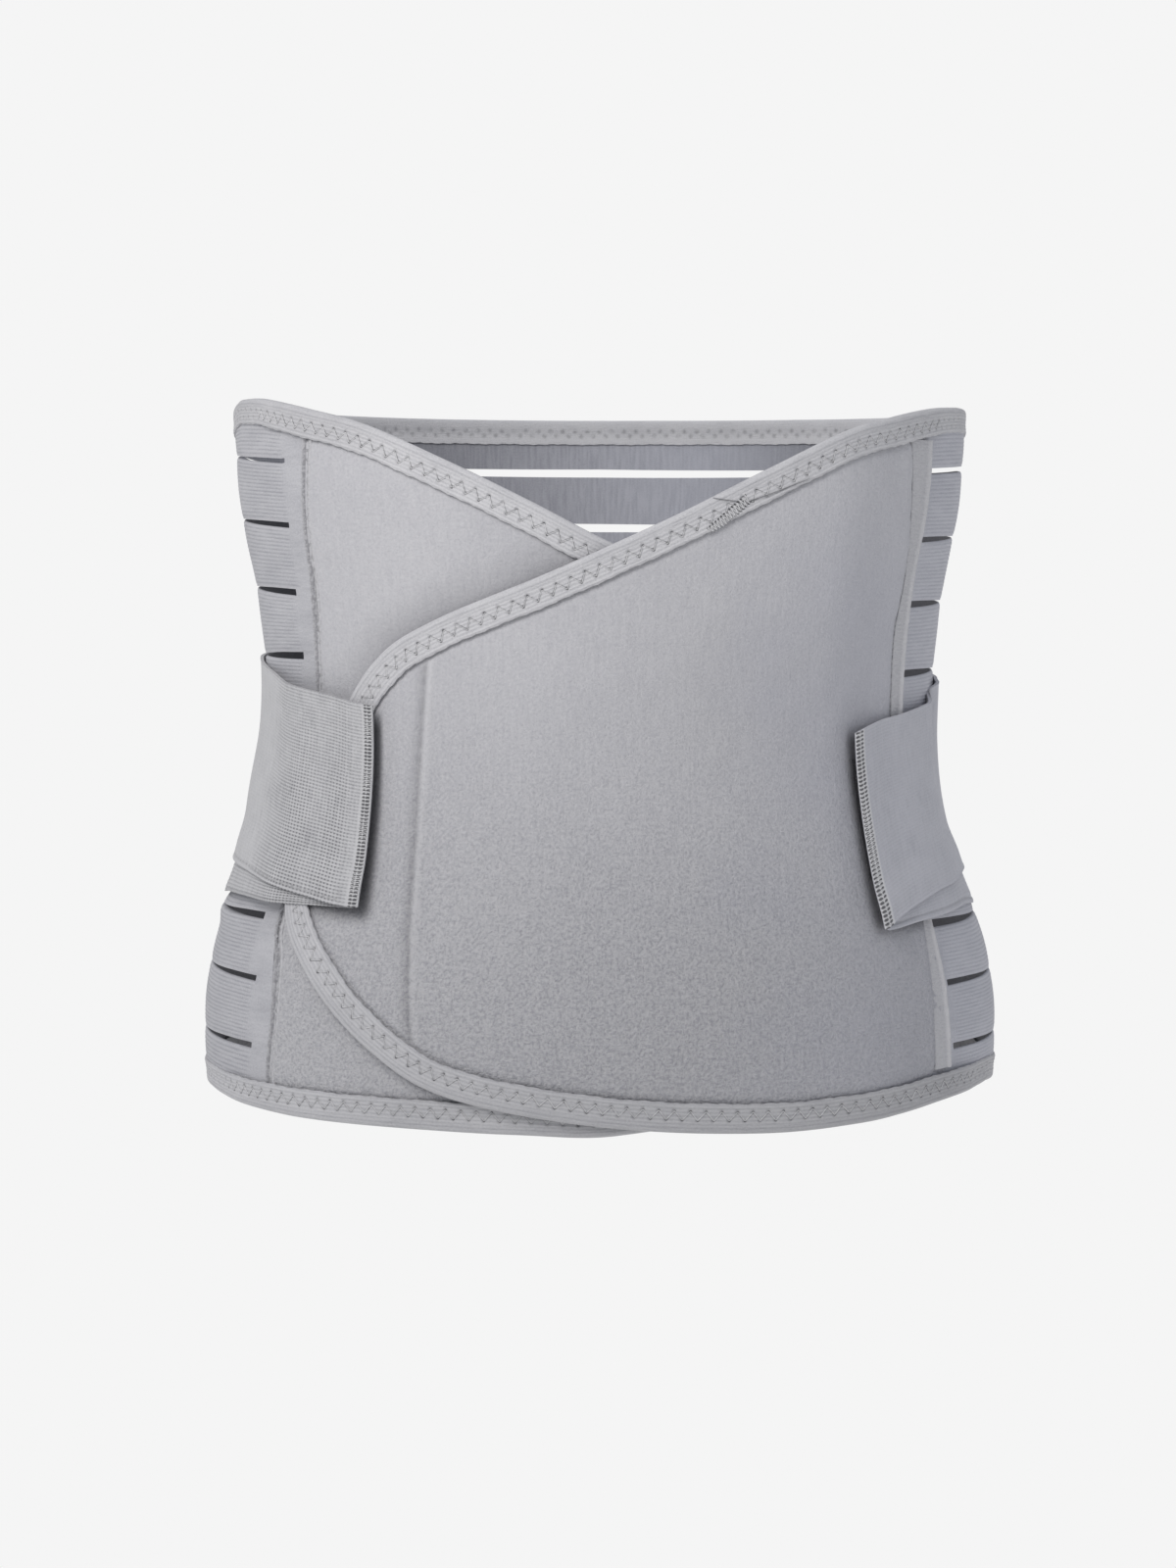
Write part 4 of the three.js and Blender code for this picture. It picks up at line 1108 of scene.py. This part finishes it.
def binding_lift(profile):
    """How far each point of the tape stands off the cloth in it, outwards."""
    around = np.sin(FOLD_ANGLES)
    section = np.concatenate([
        np.full(INNER_POINTS, -1.0), around, np.ones(FACE_POINTS), [0.12, 0.10, 0.0, 0.0, -0.10],
    ])
    lift = section[None, :] * np.ones(profile.shape)
    lift[:, FACE_PART] = profile[:, FACE_PART]
    face_start = profile[:, FACE_START:FACE_START + 1]
    lift[:, FOLD_PART] = np.where(around > 0, face_start * around, around)
    return lift


def binding_uv(u, depth, side):
    """UV of each face corner: length along the tape, and depth, which counts down on the face inside."""
    count = len(u)
    sections = len(depth)
    uv_u = np.stack([u, u, np.append(u[1:], LOOP_LENGTH), np.append(u[1:], LOOP_LENGTH)], axis=-1)
    uv_u = np.repeat(uv_u[:, None, :], sections, axis=1) * (ZIGZAG_PITCH / ZIGZAG_STEP)
    shown = np.where(side > 0.5, depth, UNDERSIDE_START - depth)
    uv_v = np.stack([shown, np.roll(shown, -1), np.roll(shown, -1), shown], axis=-1)
    uv_v = np.repeat(uv_v[None, :, :], count, axis=0)
    return np.stack([uv_u, uv_v], axis=-1).reshape(-1, 2)


def binding_marks(turn, z, depth, side):
    """Marks of the tape: its grooves, where stitches show, and its painted shade and painted light."""
    side_turn = np.mod(turn + 180, 360) - 180
    within = (side < 0.5)[None, :] * np.ones(z.shape)
    # Painted shade: low down from the left round the front, at the top left, and strongly low down on the
    # face against the body
    low = (1 - ease(z, -140, 60)) * ease(side_turn, -95, 25) * (1 - 0.5 * ease(side_turn, 48, 75))
    low += 0.45 * ease(-side_turn, 22, 42) * ease(z, 50, 90)
    low = np.where(within > 0, 3.0 * (1 - ease(z, -140, 0)), low)
    # Painted light on the face against the body, high up at the back
    pale = within * ease(z, 60, 90) * (1 - ease(np.mod(turn, 360), 182, 215))
    return {"groove": tape_groove(depth), "stitched": stitches_shown(turn), "low": low, "pale": pale}


def make_edge_binding(material):
    """One folded tape round every raw edge."""
    count = int(LOOP_LENGTH / 1.9)
    u = np.linspace(0.0, LOOP_LENGTH, count, endpoint=False)
    depth, side = binding_section()
    grid_u, grid_depth = np.meshgrid(u, depth, indexing="ij")
    lift = binding_lift(tape_profile(grid_depth, grid_u))
    wavy = 0.16 * np.sin(grid_u * 2 * math.pi / ZIGZAG_STEP + 1.0) + 0.12 * np.sin(grid_u / 3.7)
    grid_depth = grid_depth + wavy * ease(grid_depth, TAPE_WIDTH - 1.5, TAPE_WIDTH)
    points, turn, z = on_tape(grid_u, grid_depth, side[None, :], lift)
    sections = len(depth)
    ids = np.arange(count * sections).reshape(count, sections)
    next_ids = np.roll(ids, -1, axis=0)
    quads = np.stack([ids, np.roll(ids, -1, axis=1), np.roll(next_ids, -1, axis=1), next_ids], axis=-1)
    faces = quads.reshape(-1, 4)
    uv = binding_uv(u, depth, side)
    marks = binding_marks(turn, z, grid_depth, side)
    corners = points.reshape(-1, 3)
    if signed_volume(corners, faces) < 0:
        faces = faces[:, ::-1]
        uv = uv.reshape(-1, 4, 2)[:, ::-1].reshape(-1, 2)
    return add_piece("edge_tape", corners, faces.tolist(), lambda mesh: uv, marks, material)


def make_tape_end(material):
    """The upper one of the tape's two ends, which laps over the other and is cut at a slant."""
    u = np.linspace(JOIN_PATH[0, 0], JOIN_PATH[-1, 0] - 0.2, 74)
    limit = np.interp(u, JOIN_PATH[:, 0], JOIN_PATH[:, 1])[:, None]
    share = np.linspace(0.0, 1.0, 26)[None, :]
    depth = 0.3 + (limit - 0.3) * share
    grid_u = by_column(u, depth)
    rise = JOIN_WALL * ease(grid_u - u[0], 0.0, 14.0) * ease(depth, 0.2, 2.4)
    face = tape_profile(depth, grid_u)
    outer, _, _ = on_tape(grid_u, depth, 1.0, face + rise + 0.02)
    inner, _, _ = on_tape(grid_u, depth, 1.0, face - 0.25)
    uv = np.stack([grid_u * (ZIGZAG_PITCH / ZIGZAG_STEP), depth], axis=-1)
    # Painted shade along the cut edge of the overlapping end
    edge = bell(limit - depth, 0.40) * ease(grid_u - u[0], 0.5, 6.0)
    marks = {"crease": edge * 0.9, "groove": tape_groove(depth), "stitched": np.ones(depth.shape)}
    return cloth_shell("tape_end", outer, inner, uv, uv, marks, material)


def signed_volume(points, quads):
    a, b, c, d = (points[quads[:, k]] for k in range(4))
    first = np.einsum("ij,ij->i", a, np.cross(b, c))
    second = np.einsum("ij,ij->i", a, np.cross(c, d))
    return float((first + second).sum() / 6)


def stitch_tree():
    """Geometry nodes that turn every loose edge of a guide into one arched thread."""
    tree = bpy.data.node_groups.new("arched_stitches", "GeometryNodeTree")
    named = {}
    for label, kind in (
        ("Guide", "NodeSocketGeometry"), ("Thread radius", "NodeSocketFloat"),
        ("Arch height", "NodeSocketFloat"), ("Thread finish", "NodeSocketMaterial"),
    ):
        socket = tree.interface.new_socket(label, in_out="INPUT", socket_type=kind)
        named[label] = socket.identifier
    tree.interface.new_socket("Stitches", in_out="OUTPUT", socket_type="NodeSocketGeometry")

    def node(kind, values=None, **settings):
        return add_node(tree, kind, settings, values or {}).outputs

    given = node("NodeGroupInput")
    curve = node("GeometryNodeMeshToCurve", {"Mesh": given["Guide"]})
    finer = node("GeometryNodeResampleCurve", {"Curve": curve["Curve"], "Count": 5})
    outward = node("GeometryNodeInputNamedAttribute", {"Name": "outward"}, data_type="FLOAT_VECTOR")
    place = node("GeometryNodeSplineParameter")
    half_turn = node("ShaderNodeMath", {0: place["Factor"], 1: math.pi}, operation="MULTIPLY")
    rise = node("ShaderNodeMath", {0: half_turn[0]}, operation="SINE")
    height = node("ShaderNodeMath", {0: rise[0], 1: given["Arch height"]}, operation="MULTIPLY")
    offset = node("ShaderNodeVectorMath", {0: outward[0], "Scale": height[0]}, operation="SCALE")
    arched = node("GeometryNodeSetPosition", {"Geometry": finer["Curve"], "Offset": offset[0]})
    ring = node("GeometryNodeCurvePrimitiveCircle", {"Resolution": 5, "Radius": given["Thread radius"]})
    tube = node("GeometryNodeCurveToMesh", {
        "Curve": arched["Geometry"], "Profile Curve": ring["Curve"], "Fill Caps": True,
    })
    real = node("GeometryNodeRealizeInstances", {"Geometry": tube["Mesh"]})
    dressed = node("GeometryNodeSetMaterial", {
        "Geometry": real["Geometry"], "Material": given["Thread finish"],
    })
    node("NodeGroupOutput", {"Stitches": dressed["Geometry"]})
    return tree, named


def sew(name, tree, starts, ends, outward, radius, arch, thread):
    """Threads from each start to each end, in millimetres, arched outwards."""
    group, named = tree
    points = np.stack([starts, ends], axis=1).reshape(-1, 3)
    edges = np.arange(len(points)).reshape(-1, 2)
    mesh = bpy.data.meshes.new(name)
    mesh.from_pydata((points * MM).tolist(), edges.tolist(), [])
    attribute = mesh.attributes.new("outward", "FLOAT_VECTOR", "POINT")
    attribute.data.foreach_set("vector", np.repeat(outward, 2, axis=0).astype(np.float32).ravel())
    piece = bpy.data.objects.new(name, mesh)
    bpy.context.scene.collection.objects.link(piece)
    stitches = piece.modifiers.new("stitches", "NODES")
    stitches.node_group = group
    stitches[named["Thread radius"]] = radius * MM
    stitches[named["Arch height"]] = arch * MM
    stitches[named["Thread finish"]] = thread
    seen = piece.evaluated_get(bpy.context.evaluated_depsgraph_get())
    made = bpy.data.meshes.new_from_object(seen)
    piece.modifiers.remove(stitches)
    piece.data = made
    made.name = name
    made.shade_smooth()
    return piece


def make_zigzag(tree, thread):
    """The zigzag seam that holds the edge tape."""
    step = np.arange(ZIGZAG_COUNT)
    draws = np.random.default_rng(71)
    inner_u = step * ZIGZAG_STEP + draws.uniform(-0.12, 0.12, ZIGZAG_COUNT)
    outer_u = (step + 0.5) * ZIGZAG_STEP + draws.uniform(-0.12, 0.12, ZIGZAG_COUNT)
    rows = []
    for u, depth in ((inner_u, ZIGZAG_INNER), (outer_u, ZIGZAG_OUTER)):
        depths = np.full(u.shape, depth)
        rows.append(on_tape(u, depth, 1.0, tape_profile(depths, u) + join_rise(u, depths) - 0.06))
    inner_point, inner_turn, inner_z = rows[0]
    outer_point, outer_turn, outer_z = rows[1]
    starts = np.concatenate([inner_point, outer_point])
    ends = np.concatenate([outer_point, np.roll(inner_point, -1, axis=0)])
    outward = outward_at(np.concatenate([inner_turn, outer_turn]), np.concatenate([inner_z, outer_z]))
    kept = stitches_shown(np.concatenate([inner_turn, outer_turn])) > 0.5
    return sew(
        "zigzag_thread", tree, starts[kept], ends[kept], outward[kept],
        radius=0.17, arch=0.22, thread=thread,
    )


def make_join_stitches(tree, thread):
    """The dense slanting zigzag across the two ends of the edge tape."""
    start = np.array(TACK_START)
    end = np.array(TACK_END)
    length = float(np.hypot(*(end - start)))
    heading = (end - start) / length
    sideways = np.array([-heading[1], heading[0]])
    count = int(length / TACK_PITCH * 2)
    share = np.linspace(0.0, 1.0, count)[:, None]
    swing = (TACK_HALF_WIDTH * (-1.0) ** np.arange(count))[:, None]
    places = start + (end - start) * share + sideways * swing
    depth = np.clip(places[:, 1], 0.5, TAPE_WIDTH + 0.4)
    points, turn, z = on_tape(places[:, 0], depth, 1.0, tape_profile(depth, places[:, 0]) + JOIN_WALL)
    outward = outward_at(turn, z)
    return sew(
        "join_stitches", tree, points[:-1], points[1:], outward[:-1],
        radius=0.24, arch=0.12, thread=thread,
    )


def left_stand(turn, share):
    """How much further the left strap stands off the body between the sewn part and the front."""
    at_side = ease(abs(turn), 60, 76) * (1 - ease(abs(turn), 105, 140))
    return (1.7 * bell(share - 0.34, 0.22) - 1.6 * ease(share, 0.45, 0.9)) * at_side


def right_stand(turn, share):
    """The upright S fold near the top of the right strap, which dies out lower down."""
    strength = ease(share, 0.35, 0.95)
    crests = 1.5 * bell(turn - 78.5, 3.4) + 1.5 * bell(turn - 69.0, 2.2)
    behind = 0.5 * ease(share, 0.6, 1.0) * ease(turn, 80, 88)
    return (crests - 1.3 * bell(turn - 73.4, 2.0)) * strength + behind


def strap_base(strap, turn, share):
    """Distance of a strap's inner face from the body: it rides over its fold along the lower edge."""
    table = strap["table"]
    from_end = abs(arc_mm(turn) - arc_mm(table[0, 0]))
    over_fold = FOLD_LIFT * (1 - ease(share, 0.06, 0.24))
    lift = strap["end_lift"] * (1 - ease(from_end, 1.0, 19.0))
    return smooth_read(table, turn, 4) + over_fold + strap["stand"](turn, share) + lift


def make_strap(strap, material):
    """A pull strap from its free end, where its columns are closest, round to where it is sewn on."""
    table = strap["table"]
    end_turn = table[0, 0]
    back_turn = table[-1, 0]
    run = np.concatenate([np.linspace(0, 14, 26), np.linspace(14.7, 60, 56), np.linspace(62, 117, 30)])
    run = run[run < abs(back_turn - end_turn) - 1]
    run = np.append(run, abs(back_turn - end_turn))
    turns = np.sort(end_turn + np.sign(back_turn - end_turn) * run)
    low = smooth_read(table, turns, 2)
    high = smooth_read(table, turns, 1)
    ribs = int(round(float(np.mean(high - low)) / WEBBING_PITCH))
    rows = ribs * 4 + 1
    z = even_rows(low, high, rows)
    share = np.linspace(0.0, 1.0, rows)[None, :] * np.ones(z.shape)
    turn = by_column(turns, z)
    from_end = abs(arc_mm(turn) - arc_mm(end_turn))
    turn = turn + strap["slant"] * (1 - share) * (1 - ease(from_end, 0, 60))
    hem = 1 - ease(from_end, strap["hem"] - 0.3, strap["hem"] + 0.3)
    wave = np.cos(share * ribs * 2 * math.pi)
    plain = ease(from_end, 46, 62) * (1 - ease(from_end, 96, 120))
    ribbed = (1 - plain * 0.8) * (1 - hem)
    selvedge = bell(share * STRAP_HEIGHT, 0.8) + bell((1 - share) * STRAP_HEIGHT, 0.8)
    wall = STRAP_WALL - strap["rib_height"] * wave * ribbed + 0.35 * hem + 0.20 * selvedge
    wall *= 0.45 + 0.55 * ease(from_end, -0.2, 1.0)
    sway = 0.35 * soft_waves(from_end, z, 60.0, int(80 + abs(end_turn))) * ease(from_end, 0, 30)
    base = strap_base(strap, turn, share) + sway
    outer = body_point(turn, z, base + wall)
    pick = np.linspace(0, rows - 1, 16).round().astype(int)
    inner = body_point(turn[:, pick], z[:, pick], base[:, pick])
    uv = np.stack([from_end, share * ribs * WEBBING_PITCH], axis=-1)
    marks = {
        "groove": ribbed,
        "hem": hem,
        "dots": strap["dots"](from_end, share) * (1 - hem),
        "crease": strap["creases"](turn, from_end, share),
    }
    return cloth_shell(strap["name"], outer, inner, uv, uv[:, pick], marks, material)


def make_strap_fold(strap, name, material, crease_height):
    """The part of a strap folded under, which shows below its outer layer."""
    table = strap["table"]
    end_turn = table[0, 0]
    start = end_turn + np.sign(table[-1, 0]) * 1.3
    turns = np.sort(np.linspace(start, table[-1, 0], 96))
    low = smooth_read(table, turns, 3)
    high = smooth_read(table, turns, 2) + 8.0
    ribs = 14
    z = even_rows(low, high, ribs * 4 + 1)
    share = np.linspace(0.0, 1.0, z.shape[1])[None, :] * np.ones(z.shape)
    turn = by_column(turns, z)
    from_end = abs(arc_mm(turn) - arc_mm(end_turn))
    turn = turn + strap["slant"] * (1 - ease(from_end, 0, 60))
    wave = np.cos(share * ribs * 2 * math.pi)
    above_low = z - low[:, None]
    below_strap = smooth_read(table, turns, 2)[:, None] - z
    wall = FOLD_WALL - strap["rib_height"] * wave + 0.4 * bell(above_low, 1.2)
    wall -= 0.35 * bell(above_low - crease_height, 0.8)
    lift = strap["end_lift"] * 0.8 * (1 - ease(from_end, 1.0, 19.0))
    base = smooth_read(table, turn, 4) + lift + 0.1 * soft_waves(from_end, z, 30.0, 91)
    base += strap["stand"](turn, 0.12) - 0.6 * bell(above_low, 0.8)
    outer = body_point(turn, z, base + wall)
    pick = np.linspace(0, z.shape[1] - 1, 8).round().astype(int)
    inner = body_point(turn[:, pick], z[:, pick], base[:, pick])
    uv = np.stack([from_end, share * ribs * WEBBING_PITCH], axis=-1)
    # Painted shade just below the outer layer and along the fold's crease
    crease = 0.75 * bell(below_strap - 0.1, 0.55) + 0.30 * bell(above_low - crease_height, 0.45)
    marks = {
        "groove": np.ones(z.shape),
        "dots": strap["dots"](from_end, share),
        "crease": np.clip(crease, 0, 1) * ease(from_end, 2.0, 6.0),
    }
    return cloth_shell(name, outer, inner, uv, uv[:, pick], marks, material)


def left_dots(from_end, share):
    """Where the left strap's weave shows its columns of small gaps: two bands near the free end."""
    bands = bell(from_end - 14, 6) + bell(from_end - 33, 10) * (1 - ease(share, 0.75, 0.95))
    low = 1 - ease(share, 0.15, 0.95)
    return np.clip(0.16 + bands * (0.30 + 0.70 * low), 0, 1) * (1 - ease(from_end, 46, 60))


def right_dots(from_end, share):
    """The right strap's closer weave hardly shows them."""
    return 0.10 * bell(from_end - 14, 8) * np.ones(np.shape(share))


def left_creases(turn, from_end, share):
    """The row of loops above the lower edge, and the dashes of a tack near the free end."""
    height = share * CREASED_HEIGHT
    loops = bell(height - 1.9, 0.42) * (0.30 + 0.25 * np.cos(from_end * 2 * math.pi / 2.6))
    tack = bell(from_end - 6.6, 0.35) * (np.cos(height * 2 * math.pi / 2.3) > 0)
    tack = tack * (1 - ease(height, 16, 19))
    return np.clip(loops * ease(from_end, 6, 9) + 0.60 * tack, 0, 1)


def right_creases(turn, from_end, share):
    """Painted shade in the hollow of the S fold, and a faint line of marks inside the hem."""
    hollow = bell(turn - 72.2, 1.7) * ease(share, 0.86, 0.99)
    dashes = np.cos(share * CREASED_HEIGHT * 2 * math.pi / RIGHT_HEM_PITCH) > 0
    marks = bell(from_end - 5.0, 0.30) * dashes
    return np.clip(0.95 * hollow + 0.22 * marks, 0, 1)


# What differs between the straps: stand, dots and creases are functions that take the same values
LEFT_STRAP = {
    "name": "webbing_strap_left", "table": STRAP_LEFT, "end_lift": 3.2, "hem": 3.6, "rib_height": 0.09,
    "slant": LEFT_SLANT, "stand": left_stand, "dots": left_dots, "creases": left_creases,
}
RIGHT_STRAP = {
    "name": "webbing_strap_right", "table": STRAP_RIGHT, "end_lift": 2.4, "hem": 3.9, "rib_height": 0.03,
    "slant": RIGHT_SLANT, "stand": right_stand, "dots": right_dots, "creases": right_creases,
}


def seam_strip(name, left, right, low, high, out_of, material):
    """A narrow raised strip between two lines that run up the side.

    Each line is a table of heights and turns, and how many degrees further on the line runs.
    """
    rows = 200
    z = np.linspace(low, high, rows)
    share = np.linspace(0.0, 1.0, 17)[:, None]
    start = (smooth_read(left[0], z) + left[1])[None, :]
    end = (smooth_read(right[0], z) + right[1])[None, :]
    turn = start + (end - start) * share
    height = z[None, :] * np.ones(turn.shape)
    across = (turn - start) * mm_per_degree(turn, height)
    to_end = (end - turn) * mm_per_degree(turn, height)
    out = out_of(turn, height, across, to_end)
    outer = body_point(turn, height, out)
    pick = np.linspace(0, rows - 1, 60).round().astype(int)
    inner = body_point(turn[:, pick], height[:, pick], out[:, pick] - 0.6)
    uv = np.stack([across, height], axis=-1)
    # Painted highlight along the strip's ridge
    marks = {"ridge": bell(to_end - 1.2, 1.0)}
    return cloth_shell(name, outer, inner, uv, uv[:, pick], marks, material)


def make_side_seams(left_cloth, right_cloth):
    """The fuzzy seam at the left side and the ridged one at the right."""
    def left_out(turn, z, across, to_end):
        pile = 0.30 * bell(across - 0.6, 0.8) + 0.40 * bell(to_end - 0.9, 1.0)
        rough = 0.10 * soft_waves(arc_mm(turn), z, 3.0, 95) + 0.08 * soft_waves(arc_mm(turn), z, 1.6, 96)
        return 2.55 + pile - 0.40 * bell(across - 2.1, 1.2) + rough * 1.6

    def right_out(turn, z, across, to_end):
        ridge = 0.95 * bell(to_end - 1.1, 0.9)
        hollow = 0.35 * ease(across, 0.3, 1.4) * ease(to_end, 0.0, 0.5)
        rough = 0.06 * soft_waves(arc_mm(turn), z, 3.5, 97)
        return over_lift(turn) + 0.75 + ridge + hollow + rough

    left = seam_strip(
        "seam_tape_left", (LEFT_SEAM, -1.2), (LEFT_SEAM, 1.2), -151.5, 95.5, left_out, left_cloth,
    )
    right = seam_strip(
        "seam_tape_right", (RIGHT_SEAM_LINE, 0.0), (RIGHT_SEAM_RIDGE, 0.6), -147.0, 95.0,
        right_out, right_cloth,
    )
    return left, right


def make_hem_stitches(tree, thread, name, strap, columns, pitch):
    """Rungs of the cover stitch across the hem at a strap's free end, between its needle holes."""
    table = strap["table"]
    toward = np.sign(table[-1, 0] - table[0, 0])
    count = int(HEM_HEIGHT / pitch)
    places = (np.arange(count) + 0.5) / count
    ends = []
    for column in columns:
        turn = np.full(count, table[0, 0]) + toward * column / STRAP_MM_PER_DEGREE
        low = smooth_read(table, turn, 2)
        z = low + (smooth_read(table, turn, 1) - low) * places
        turn = turn + strap["slant"] * (1 - places)
        out = strap_base(strap, turn, places) + STRAP_WALL + 0.27
        ends.append(body_point(turn, z, out))
    return sew(name, tree, ends[0], ends[1], outward_at(turn, z), radius=0.22, arch=0.10, thread=thread)


def dress_hook_tabs(frame, material):
    for name in ("hook_tab_left", "hook_tab_right", "hook_tab_front"):
        for place in frame["nodes"][name].material_slots:
            place.material = material


def add_camera():
    data = bpy.data.cameras.new("photo_camera")
    data.sensor_fit = "AUTO"
    data.sensor_width = 36.0
    data.lens = 52.155
    data.shift_x = -0.0075
    data.shift_y = -0.13625
    data.clip_start = 0.05
    data.clip_end = 60.0
    camera = bpy.data.objects.new("photo_camera", data)
    camera.location = (0.0, -0.950, 0.0443)
    camera.rotation_euler = (math.pi / 2, 0.0, 0.0)
    bpy.context.scene.collection.objects.link(camera)
    bpy.context.scene.camera = camera


def add_light(name, place, aim, width, height, power, colour):
    data = bpy.data.lights.new(name, "AREA")
    data.shape = "RECTANGLE"
    data.size = width
    data.size_y = height
    data.energy = power
    data.color = colour
    light = bpy.data.objects.new(name, data)
    light.location = place
    light.rotation_euler = (Vector(aim) - Vector(place)).to_track_quat("-Z", "Y").to_euler()
    bpy.context.scene.collection.objects.link(light)


# Light: a near soft key from the front left and above, and a pale surround
KEY_PLACE = (-0.34, -0.66, 0.46)
KEY_SIZE = 0.42
KEY_POWER = 4.1
KEY_COLOUR = (1.0, 0.975, 0.945)
SURROUND_COLOUR = (0.90, 0.93, 1.0, 1.0)
SURROUND_STRENGTH = 0.50
FLOOR_GLOW = 0.913


def add_studio():
    """A pale floor that sweeps up behind, soft light from the front left, and an even surround."""
    floor_z = -0.62
    depth = 2.0
    bend = 0.8
    profile = [(-6.0, floor_z), (depth - bend, floor_z)]
    for step in range(1, 13):
        angle = math.radians(90.0 * step / 12)
        profile.append((depth - bend + bend * math.sin(angle), floor_z + bend - bend * math.cos(angle)))
    profile.append((depth, 6.0))
    width = 7.0
    points = []
    for y, z in profile:
        points += [(-width, y, z), (width, y, z)]
    faces = []
    for i in range(len(profile) - 1):
        faces.append((2 * i, 2 * i + 1, 2 * i + 3, 2 * i + 2))
    mesh = bpy.data.meshes.new("studio_floor")
    mesh.from_pydata(points, [], faces)
    mesh.shade_smooth()
    floor = bpy.data.objects.new("studio_floor", mesh)
    bpy.context.scene.collection.objects.link(floor)
    finish = Finish("studio_paper")
    glow = finish.node("ShaderNodeEmission", None, {"Color": rgb(1.0, 1.0, 1.0), "Strength": FLOOR_GLOW})
    finish.show(glow)
    mesh.materials.append(finish.material)

    world = bpy.data.worlds.new("studio_surround")
    world.use_nodes = True
    bpy.context.scene.world = world
    background = world.node_tree.nodes["Background"]
    background.inputs["Color"].default_value = SURROUND_COLOUR
    background.inputs["Strength"].default_value = SURROUND_STRENGTH
    add_light("soft_key", KEY_PLACE, (0.0, 0.0, 0.02), KEY_SIZE, KEY_SIZE, KEY_POWER, KEY_COLOUR)
    bpy.context.scene.view_settings.view_transform = "Standard"
    bpy.context.scene.view_settings.look = "None"


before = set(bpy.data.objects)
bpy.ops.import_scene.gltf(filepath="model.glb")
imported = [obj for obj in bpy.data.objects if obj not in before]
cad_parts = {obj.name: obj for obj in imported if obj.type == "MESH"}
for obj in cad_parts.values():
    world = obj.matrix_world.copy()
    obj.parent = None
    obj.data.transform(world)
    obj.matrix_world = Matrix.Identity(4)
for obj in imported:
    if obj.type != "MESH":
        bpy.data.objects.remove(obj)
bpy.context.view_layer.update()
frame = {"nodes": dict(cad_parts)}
add_camera()
add_studio()

plush = plush_finish(arc_mm(STRAP_LEFT[0, 0]) - 0.8, arc_mm(STRAP_RIGHT[0, 0]) + 2.8)
elastic = elastic_finish()
tape = tape_finish(TACK_START, TACK_END)
left_seam_cloth = seam_finish("seam_cloth_left", ((2.1, 3.1, 0.60, 1.6), (5.0, 0.5, 0.30, 0.3)))
right_seam_cloth = seam_finish("seam_cloth_right", ((0.45, 0.55, 0.72, 0.25),))
left_webbing = webbing_finish(
    "webbing_left", hole_rows=(1.0, 2.4), hole_pitch=LEFT_HEM_PITCH, hole_squash=0.85,
    rib_contrast=0.37, pale_hem=0.20, texture=0.80, tint=0.0,
)
right_webbing = webbing_finish(
    "webbing_right", hole_rows=(0.7, 2.4), hole_pitch=RIGHT_HEM_PITCH, hole_squash=0.75,
    rib_contrast=0.12, pale_hem=0.85, texture=0.8, tint=0.30,
)
thread = thread_finish()
stitches = stitch_tree()

back = make_back_elastic(elastic)
over = make_over_flap(plush)
under = make_under_flap(plush)
binding = make_edge_binding(tape)
tape_end = make_tape_end(tape)
zigzag = make_zigzag(stitches, thread)
join = make_join_stitches(stitches, thread)
seam_left, seam_right = make_side_seams(left_seam_cloth, right_seam_cloth)
strap_left = make_strap(LEFT_STRAP, left_webbing)
strap_right = make_strap(RIGHT_STRAP, right_webbing)
fold_left = make_strap_fold(LEFT_STRAP, "webbing_fold_left", left_webbing, crease_height=0.9)
fold_right = make_strap_fold(RIGHT_STRAP, "webbing_fold_right", right_webbing, crease_height=2.0)
hem_left = make_hem_stitches(
    stitches, thread, "hem_thread_left", LEFT_STRAP, columns=(0.3, 3.2), pitch=LEFT_HEM_PITCH,
)
hem_right = make_hem_stitches(
    stitches, thread, "hem_thread_right", RIGHT_STRAP, columns=(0.1, 3.2), pitch=RIGHT_HEM_PITCH,
)
dress_hook_tabs(frame, hook_finish())

for piece, node, slot in (
    (back, "back_elastic", "elastic"),
    (over, "over_flap", "plush"),
    (under, "under_flap", "plush"),
    (binding, "edge_binding", "edge_tape"),
    (seam_left, "side_seam_left", "edge_tape"),
    (seam_right, "side_seam_right", "edge_tape"),
    (strap_left, "strap_left", "strap"),
    (strap_right, "strap_right", "strap"),
    (fold_left, "strap_fold_left", "strap"),
    (fold_right, "strap_fold_right", "strap"),
):
    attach(piece, BODY)
    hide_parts(node)
for piece in (tape_end, zigzag, join):
    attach(piece, BODY)
for piece in (hem_left, hem_right):
    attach(piece, BODY)
